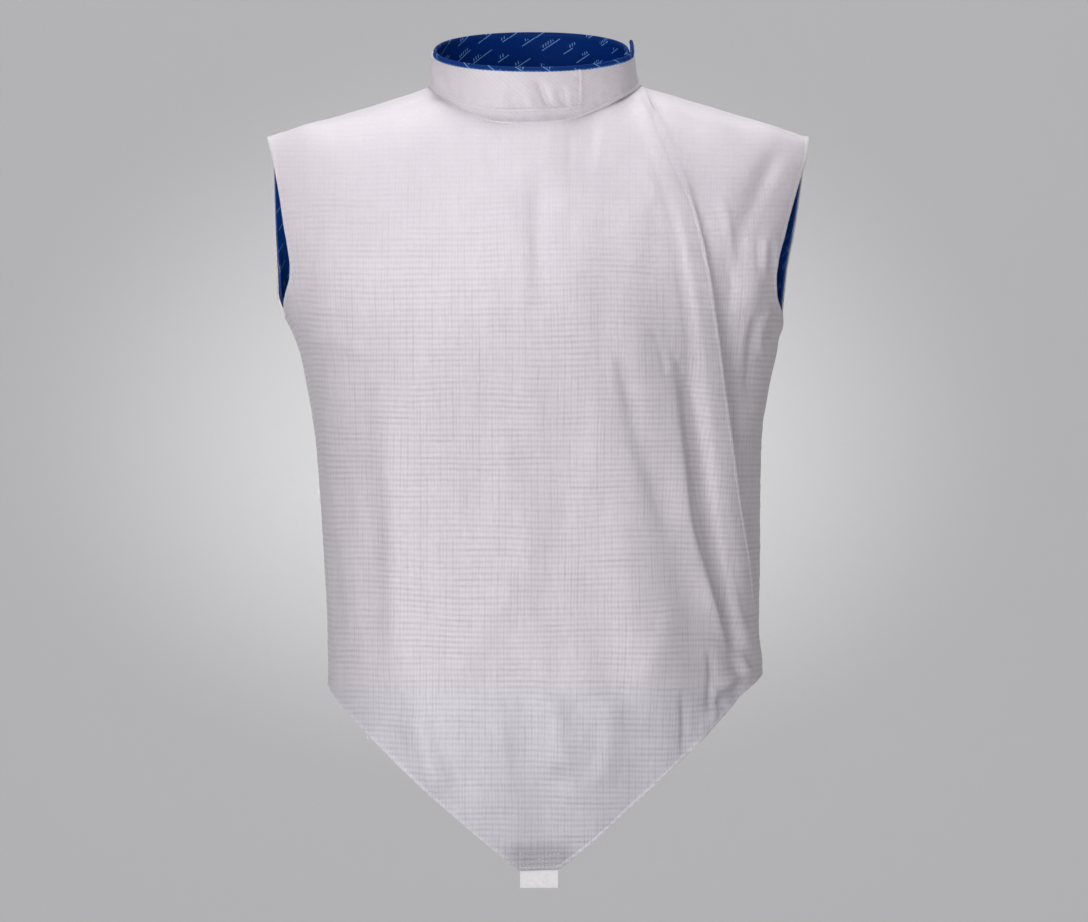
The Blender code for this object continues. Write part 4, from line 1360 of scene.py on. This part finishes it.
def collarPoint(turn, share):
    form = collarForm
    angle = (turn + math.pi) % (2 * math.pi) - math.pi
    foot = stack(*(np.interp(angle, neckPlan, values, period=2 * math.pi) for values in neckPoints.T))
    across, along = np.sin(turn), np.cos(turn)
    size = (abs(across) ** form["rimPower"] + abs(along) ** form["rimPower"]) ** (1 / form["rimPower"])
    x = form["rimCentre"][0] + form["rimHalfWidth"] * across / size
    x = x - form["rimLeftIn"] * np.maximum(across, 0)
    y = form["rimCentre"][1] - form["rimHalfDepth"] * along / size
    ear = form["earRise"] * ramp(turn, form["ends"][1] - form["earTurn"], form["ends"][1])
    rim = stack(x, y, form["rimHeight"] + form["rimSlope"] * (y - form["rimCentre"][1]) + ear)
    raised = form["lift"] * ramp(turn, *form["liftSpan"])
    foot = foot - stack(0, 0, form["easeDown"] * raised)
    share = np.asarray(share)[..., None]
    upright = 1 - np.maximum(1 - share, 0) ** form["flare"]
    rise = np.concatenate([upright, upright, share], axis=-1)
    out = form["bulge"] * np.sin(math.pi * share) + np.asarray(raised)[..., None]
    return foot + (rim - foot) * rise + stack(across, -along, 0 * across) * out


def collarNormal(turn, share):
    step = 1e-3
    across = collarPoint(turn + step, share) - collarPoint(turn - step, share)
    up = collarPoint(turn, share + step) - collarPoint(turn, share - step)
    return unit(np.cross(across, up))


def collarRelief(turn, share):
    across, up = collarForm["around"] * turn, collarForm["tall"] * share
    between = np.sin(math.pi * np.clip(share, 0, 1)) ** 0.7
    wave = unevenness(across, up * 0.5, seed=23, size=0.0005) * between
    return foldHeight(collarWrinkles, across, up, fade=0.35) + wave


def collarWall(name, node, grid, out, wall, material, sides=(), seed=0):
    # A wall that stands out from the collar's form, over a grid of turns and of shares of the height.
    turn, share = grid
    normal = collarNormal(turn, share)
    face = collarPoint(turn, share) + normal * (out + collarRelief(turn, share))[..., None]
    sewn = [(side, None, "edge") for side in sides]
    outer, mark, lines = sewEdges(face, normal, sewn, seed, edges["collarPale"])
    place = stack(collarForm["around"] * turn, collarForm["tall"] * share)
    piece = clothWall(name, outer, face - normal * wall, place, material, edge=mark)
    return standsFor(piece, node), lines


def addCollar():
    form, close = collarForm, evenShares(30, closing["collar"], closing["collar"])
    shares = form["foot"] + (1 - form["foot"]) * close
    grid = np.meshgrid(np.linspace(*form["ends"], 331), shares[::-1])
    lift = form["footLift"] * (1 - ramp(grid[1], *form["footLiftFrom"]))
    stand, lines = collarWall("collarStand", "collar_stand", grid, lift, cloth["shell"],
                              foilBias, ("foot",), 40)
    standSewing = addStitches("collarStitches", lines)
    grid = np.meshgrid(np.linspace(*form["ends"], 211), np.linspace(1.0, form["liningFoot"], 21))
    inside = -(cloth["shell"] + form["liningGap"])
    liner, _ = collarWall("collarLining", "collar_lining", grid, inside, cloth["lining"],
                          shadedCollarSatin)
    start, end = form["strapTurns"]
    turns = start + (end - start) * evenShares(141, closing["strapEnd"], closing["strapEnd"])
    turn, part = np.meshgrid(turns, close[::-1])
    foot = form["strapFoot"][0] + form["strapFoot"][1] * np.cos(turn) ** 2
    out = cloth["seamGap"] + cloth["shell"]
    grid = (turn, foot + (1 - foot) * part)
    strap, lines = collarWall("collarStrap", "collar_strap", grid, out, cloth["shell"],
                              foilBias, ("left", "right", "foot"), 50)
    return stand, standSewing, liner, strap, addStitches("strapStitches", lines)


rollForm = {
    "height": 0.0052,
    "thick": 0.0032,
    "back": 0.0013,
    "down": 0.0004,
    "power": 0.7,
    "swells": ((0.05, 37, 0), (0.04, 61, 1)),  # size, waves in a full turn, start
    "pale": (5.30, 0.42),  # angle round the section at which its paler border is, and its width
    "stitch": (0.0001, 0.0019),  # how far the thread stands out, and how far below the middle
}


def addRoll():
    # Blue binding rolled over the collar's top edge.
    form, turns, sides = rollForm, np.linspace(*collarForm["ends"], 331), 20
    one = 1 + 0 * turns
    normal = collarNormal(turns, one)
    top = collarPoint(turns, one) + normal * collarRelief(turns, one)[..., None]
    rise = unit(top - collarPoint(turns, 0.9 * one))
    middle = top - normal * form["back"] + rise * (form["height"] / 2 - form["down"])
    corner = np.linspace(0, 2 * math.pi, sides, endpoint=False)
    swelling = 1 + sum(size * np.sin(turns * waves + start) for size, waves, start in form["swells"])
    across = form["thick"] / 2 * np.sign(np.cos(corner)) * abs(np.cos(corner)) ** form["power"]
    across, up = across * swelling[:, None], form["height"] / 2 * np.sin(corner)
    points = middle[:, None] + normal[:, None] * across[..., None] + rise[:, None] * up[:, None]
    at = ringGrid(len(turns), sides)
    faces = [at[0, :-1].tolist(), at[-1, -2::-1].tolist()] + gridFaces(at, (0, 1, 2, 3))
    place = stack(collarForm["around"] * turns[:, None], collarForm["tall"] + form["height"] / 2 + up)
    pale = {"edge": np.tile(hump(corner, *form["pale"]), len(turns))}
    roll = pieceObject("collarRoll", points.reshape(-1, 3), faces, binding, place.reshape(-1, 2), pale)
    line = middle + normal * (form["thick"] / 2 + form["stitch"][0]) - rise * form["stitch"][1]
    return standsFor(roll, "collar_roll"), addStitches("rollStitches", [line], blueThread)


collarStand, collarStitches, collarLining, collarStrap, strapStitches = addCollar()
collarRoll, rollStitches = addRoll()
print("collar made")

# Tape under the lapped edge, and the loop at the point

tapeForm = {
    "gap": 0.0006,
    "top": 0.060,
    "foot": -0.455,
    "insets": (0.0130, 0.0040),
    "flapShare": 0.8,  # share of the flap's missing lift by which it sinks
    "tuck": 0.0022,
}
tabForm = {
    "width": 0.031,
    "hold": 0.004,
    "below": 0.0175,
    "behind": 0.020,
    "wall": 0.0012,
    "hollow": 0.0005,
    "gap": 0.0008,
    "edgeFrom": 0.47,
    "edgeRise": 0.00012,
}


def addTape():
    top = shoulderHeight(lapEdge(-tapeForm["top"])) - tapeForm["top"]
    z = np.linspace(top, tapeForm["foot"], 91)[:, None]
    turn = turnOf(lapEdge(z) - np.linspace(*tapeForm["insets"], 9), z)
    z = z + 0 * turn
    foot, normal = bodyPoint(turn, z), bodyNormal(turn, z)
    x = foot[..., 0]
    lowered = tapeForm["flapShare"] * (outline["flapLift"] - flapLift(x, z))
    lowered = lowered + tapeForm["tuck"] * tuckShare(x, z, lapEdge(z) - x)
    foot = foot + normal * (tapeForm["gap"] - lowered)[..., None]
    place = clothPlace(turn, z, False)
    tape = clothWall("closureTape", foot + normal * cloth["tape"], foot, place, webbing)
    return standsFor(tape, "closure_tape")


def addTab():
    form, (right, left) = tabForm, (outline["hemPoint"][side] for side in ("Right", "Left"))
    z = np.array(left[1] + form["hold"])
    turn = turnOf(np.array((left[0] + right[0]) / 2), z)
    base, normal = bodyPoint(turn, z), bodyNormal(turn, z)
    side, wide = np.array([1.0, 0.0, 0.0]), np.linspace(-0.5, 0.5, 25)
    down = unit(np.cross(normal, side))
    down = down * -np.sign(down[2])
    outerRadius = form["wall"] + form["hollow"] / 2
    middle = cloth["shell"] + cloth["liningGap"] + cloth["lining"] + form["gap"] + outerRadius

    def ribbon(radius):
        # Down the front, round the bend at the foot and up the back.
        fall = form["below"] - outerRadius
        run, bend = np.linspace(-form["behind"], fall, 29)[:-1], np.linspace(0, math.pi, 13)
        away = np.concatenate([0 * run - radius, -radius * np.cos(bend), 0 * run + radius]) + middle
        along = np.concatenate([run, fall + radius * np.sin(bend), run[::-1]])
        line = base - normal * away[:, None] + down * (along + form["hold"])[:, None]
        edge = form["edgeRise"] * (abs(wide) > form["edgeFrom"])
        return line[:, None] + side * form["width"] * wide[:, None] + normal * edge[None, :, None]

    outer, inner = ribbon(outerRadius), ribbon(form["hollow"] / 2)
    place = stack(wide * form["width"], runLengths(outer[:, 0])[:, None])
    return standsFor(clothWall("pointTab", outer, inner, place, webbing), "point_tab")


closureTape, pointTab = addTape(), addTab()
print("tape and loop made")

boxForm = {
    "corners": np.array([(-0.0145, -0.6362), (0.0165, -0.6362), (0.0165, -0.6462), (-0.0145, -0.6462)]),
    "runs": ((0, 1), (1, 2), (2, 3), (3, 0), (0, 2), (1, 3)),
    "lift": 0.0002,
    "stitches": {"Pitch": 0.0030, "Length": 0.0023, "Thickness": 0.00034},
}


def addBox():
    # Box and cross of stitches that hold the loop, above the point.
    lines = []
    for a, b in boxForm["runs"]:
        start, end = boxForm["corners"][a], boxForm["corners"][b]
        x, z = (start + (end - start) * np.linspace(0, 1, 12)[:, None]).T
        turn, out = turnOf(x, z), frontRelief(x, z) + boxForm["lift"]
        lines.append(bodyPoint(turn, z) + bodyNormal(turn, z) * out[:, None])
    return addStitches("boxStitches", lines, sizes=boxForm["stitches"])


boxStitches = addBox()

# The cut of what shows of each sheet: piece, flat size, flat area, its stitches
sheets = (
    (frontPanel, (0.520, 0.700), 0.240, [frontStitches, boxStitches]),
    (sidePanel, (0.200, 0.520), 0.060, [sideStitches]),
    (backPanel, (0.500, 0.560), 0.235, [backStitches]),
    (frontLining, (0.520, 0.700), 0.230, []),
    (sideLining, (0.200, 0.520), 0.065, []),
    (backLining, (0.500, 0.560), 0.230, []),
    (collarStand, (0.540, 0.050), 0.0210, [collarStitches]),
    (collarLining, (0.540, 0.048), 0.0202, []),
    (collarStrap, (0.190, 0.044), 0.0064, [strapStitches]),
)
for piece, flat, area, extras in sheets:
    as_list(extras)

# Studio

stage = {
    "floor": -1.25,
    "inner": 3.2,
    "outer": 5.4,
    "top": 3.0,
    "colour": (0.447, 0.442, 0.449),
    # a painted pool of light on the wall behind the vest: its colour, centre, width and reach
    "paintedGlow": (0.83, 0.83, 0.835),
    "glowAt": (-0.07, 5.4, -0.53),
    "glowWide": 0.93,
    "glowReach": (1.10, 0.20),
}


def addStudio():
    # A pale floor that curves up into a wall all round, with a painted pool of light on the wall behind the
    # vest.
    sides, bend = 96, stage["outer"] - stage["inner"]
    turn = np.linspace(0, math.pi / 2, 17)
    radius = np.concatenate([[0.001, 1.2, 2.2], stage["inner"] + bend * np.sin(turn), [stage["outer"]]])
    rise = np.concatenate([[0, 0, 0], bend * (1 - np.cos(turn)), [stage["top"] - stage["floor"]]])
    plan = np.linspace(0, 2 * math.pi, sides, endpoint=False)
    radius, height = radius[:, None], (rise + stage["floor"])[:, None]
    points = stack(radius * np.sin(plan), -radius * np.cos(plan), height)
    mesh = bpy.data.meshes.new("studio")
    faces = gridFaces(ringGrid(len(radius), sides), (0, 3, 2, 1))
    mesh.from_pydata(points.reshape(-1, 3).tolist(), [], faces)
    mesh.shade_smooth()
    w = Wiring("studio")
    # painted pool of light on the wall behind the vest
    away = w.add("VectorMath", (w.add("TexCoord", out=3), stage["glowAt"]), operation="SUBTRACT")
    away = w.add("VectorMath", (w.stretched(away, stage["glowWide"], 1.0),), operation="LENGTH", out=1)
    paintedGlow = w.add("MapRange", (away, *stage["glowReach"], 0.0, 1.0), interpolation_type="SMOOTHSTEP")
    colour = w.mix(paintedGlow, stage["colour"], stage["paintedGlow"])
    mesh.materials.append(w.finish({"Base Color": colour, "Roughness": 0.9}))
    linked("studio", mesh)


def addLight(name, place, aim, size, power, tall=None, spread=180):
    # A round soft box, or a long one of that height, whose light may be held to a narrow spread in degrees.
    lamp = bpy.data.lights.new(name, "AREA")
    lamp.shape, lamp.size, lamp.energy = "RECTANGLE" if tall else "DISK", size, power
    lamp.size_y, lamp.spread = tall or size, math.radians(spread)
    thing = linked(name, lamp)
    thing.location = place
    thing.rotation_euler = (Vector(aim) - Vector(place)).to_track_quat("-Z", "Y").to_euler()
    thing.visible_camera = False


def addCamera(width=0.914, distance=4.0, across=0.005, height=-0.314):
    camera = bpy.data.cameras.new("camera")
    camera.sensor_width, camera.sensor_fit = 36, "HORIZONTAL"
    camera.lens = camera.sensor_width * distance / width
    thing = linked("camera", camera)
    thing.location = (across, -distance, height)
    thing.rotation_euler = (math.pi / 2, 0, 0)
    bpy.context.scene.camera = thing


addStudio()
addLight("key", (-1.5, -3.1, -0.20), (0, 0, -0.3), 1.7, 60)
addLight("left fill", (-3.1, -0.9, 0.1), (0, 0, -0.2), 1.6, 10)
addLight("right fill", (1.6, -3.0, 0.3), (0, 0, -0.2), 1.4, 8)
addLight("low fill", (-0.3, -3.2, -0.75), (0, 0, -0.5), 1.4, 12)
addLight("side fill", (3.1, -1.0, -0.2), (0, 0, -0.35), 2.0, 10)
addLight("chest fill", (0.015, -2.6, 0.15), (0.015, -0.12, -0.075), 0.52, 0.09, tall=0.05, spread=7.5)
addLight("wall", (0, 0.80, 2.9), (0, 5.0, -0.5), 1.6, 165)
world = bpy.data.worlds.new("studio air")
world.use_nodes = True
air = world.node_tree.nodes["Background"].inputs
air[0].default_value, air[1].default_value = (0.95, 0.96, 1.0, 1), 0.29
bpy.context.scene.world = world
bpy.context.scene.view_settings.view_transform = "Standard"
addCamera()
print("studio made")
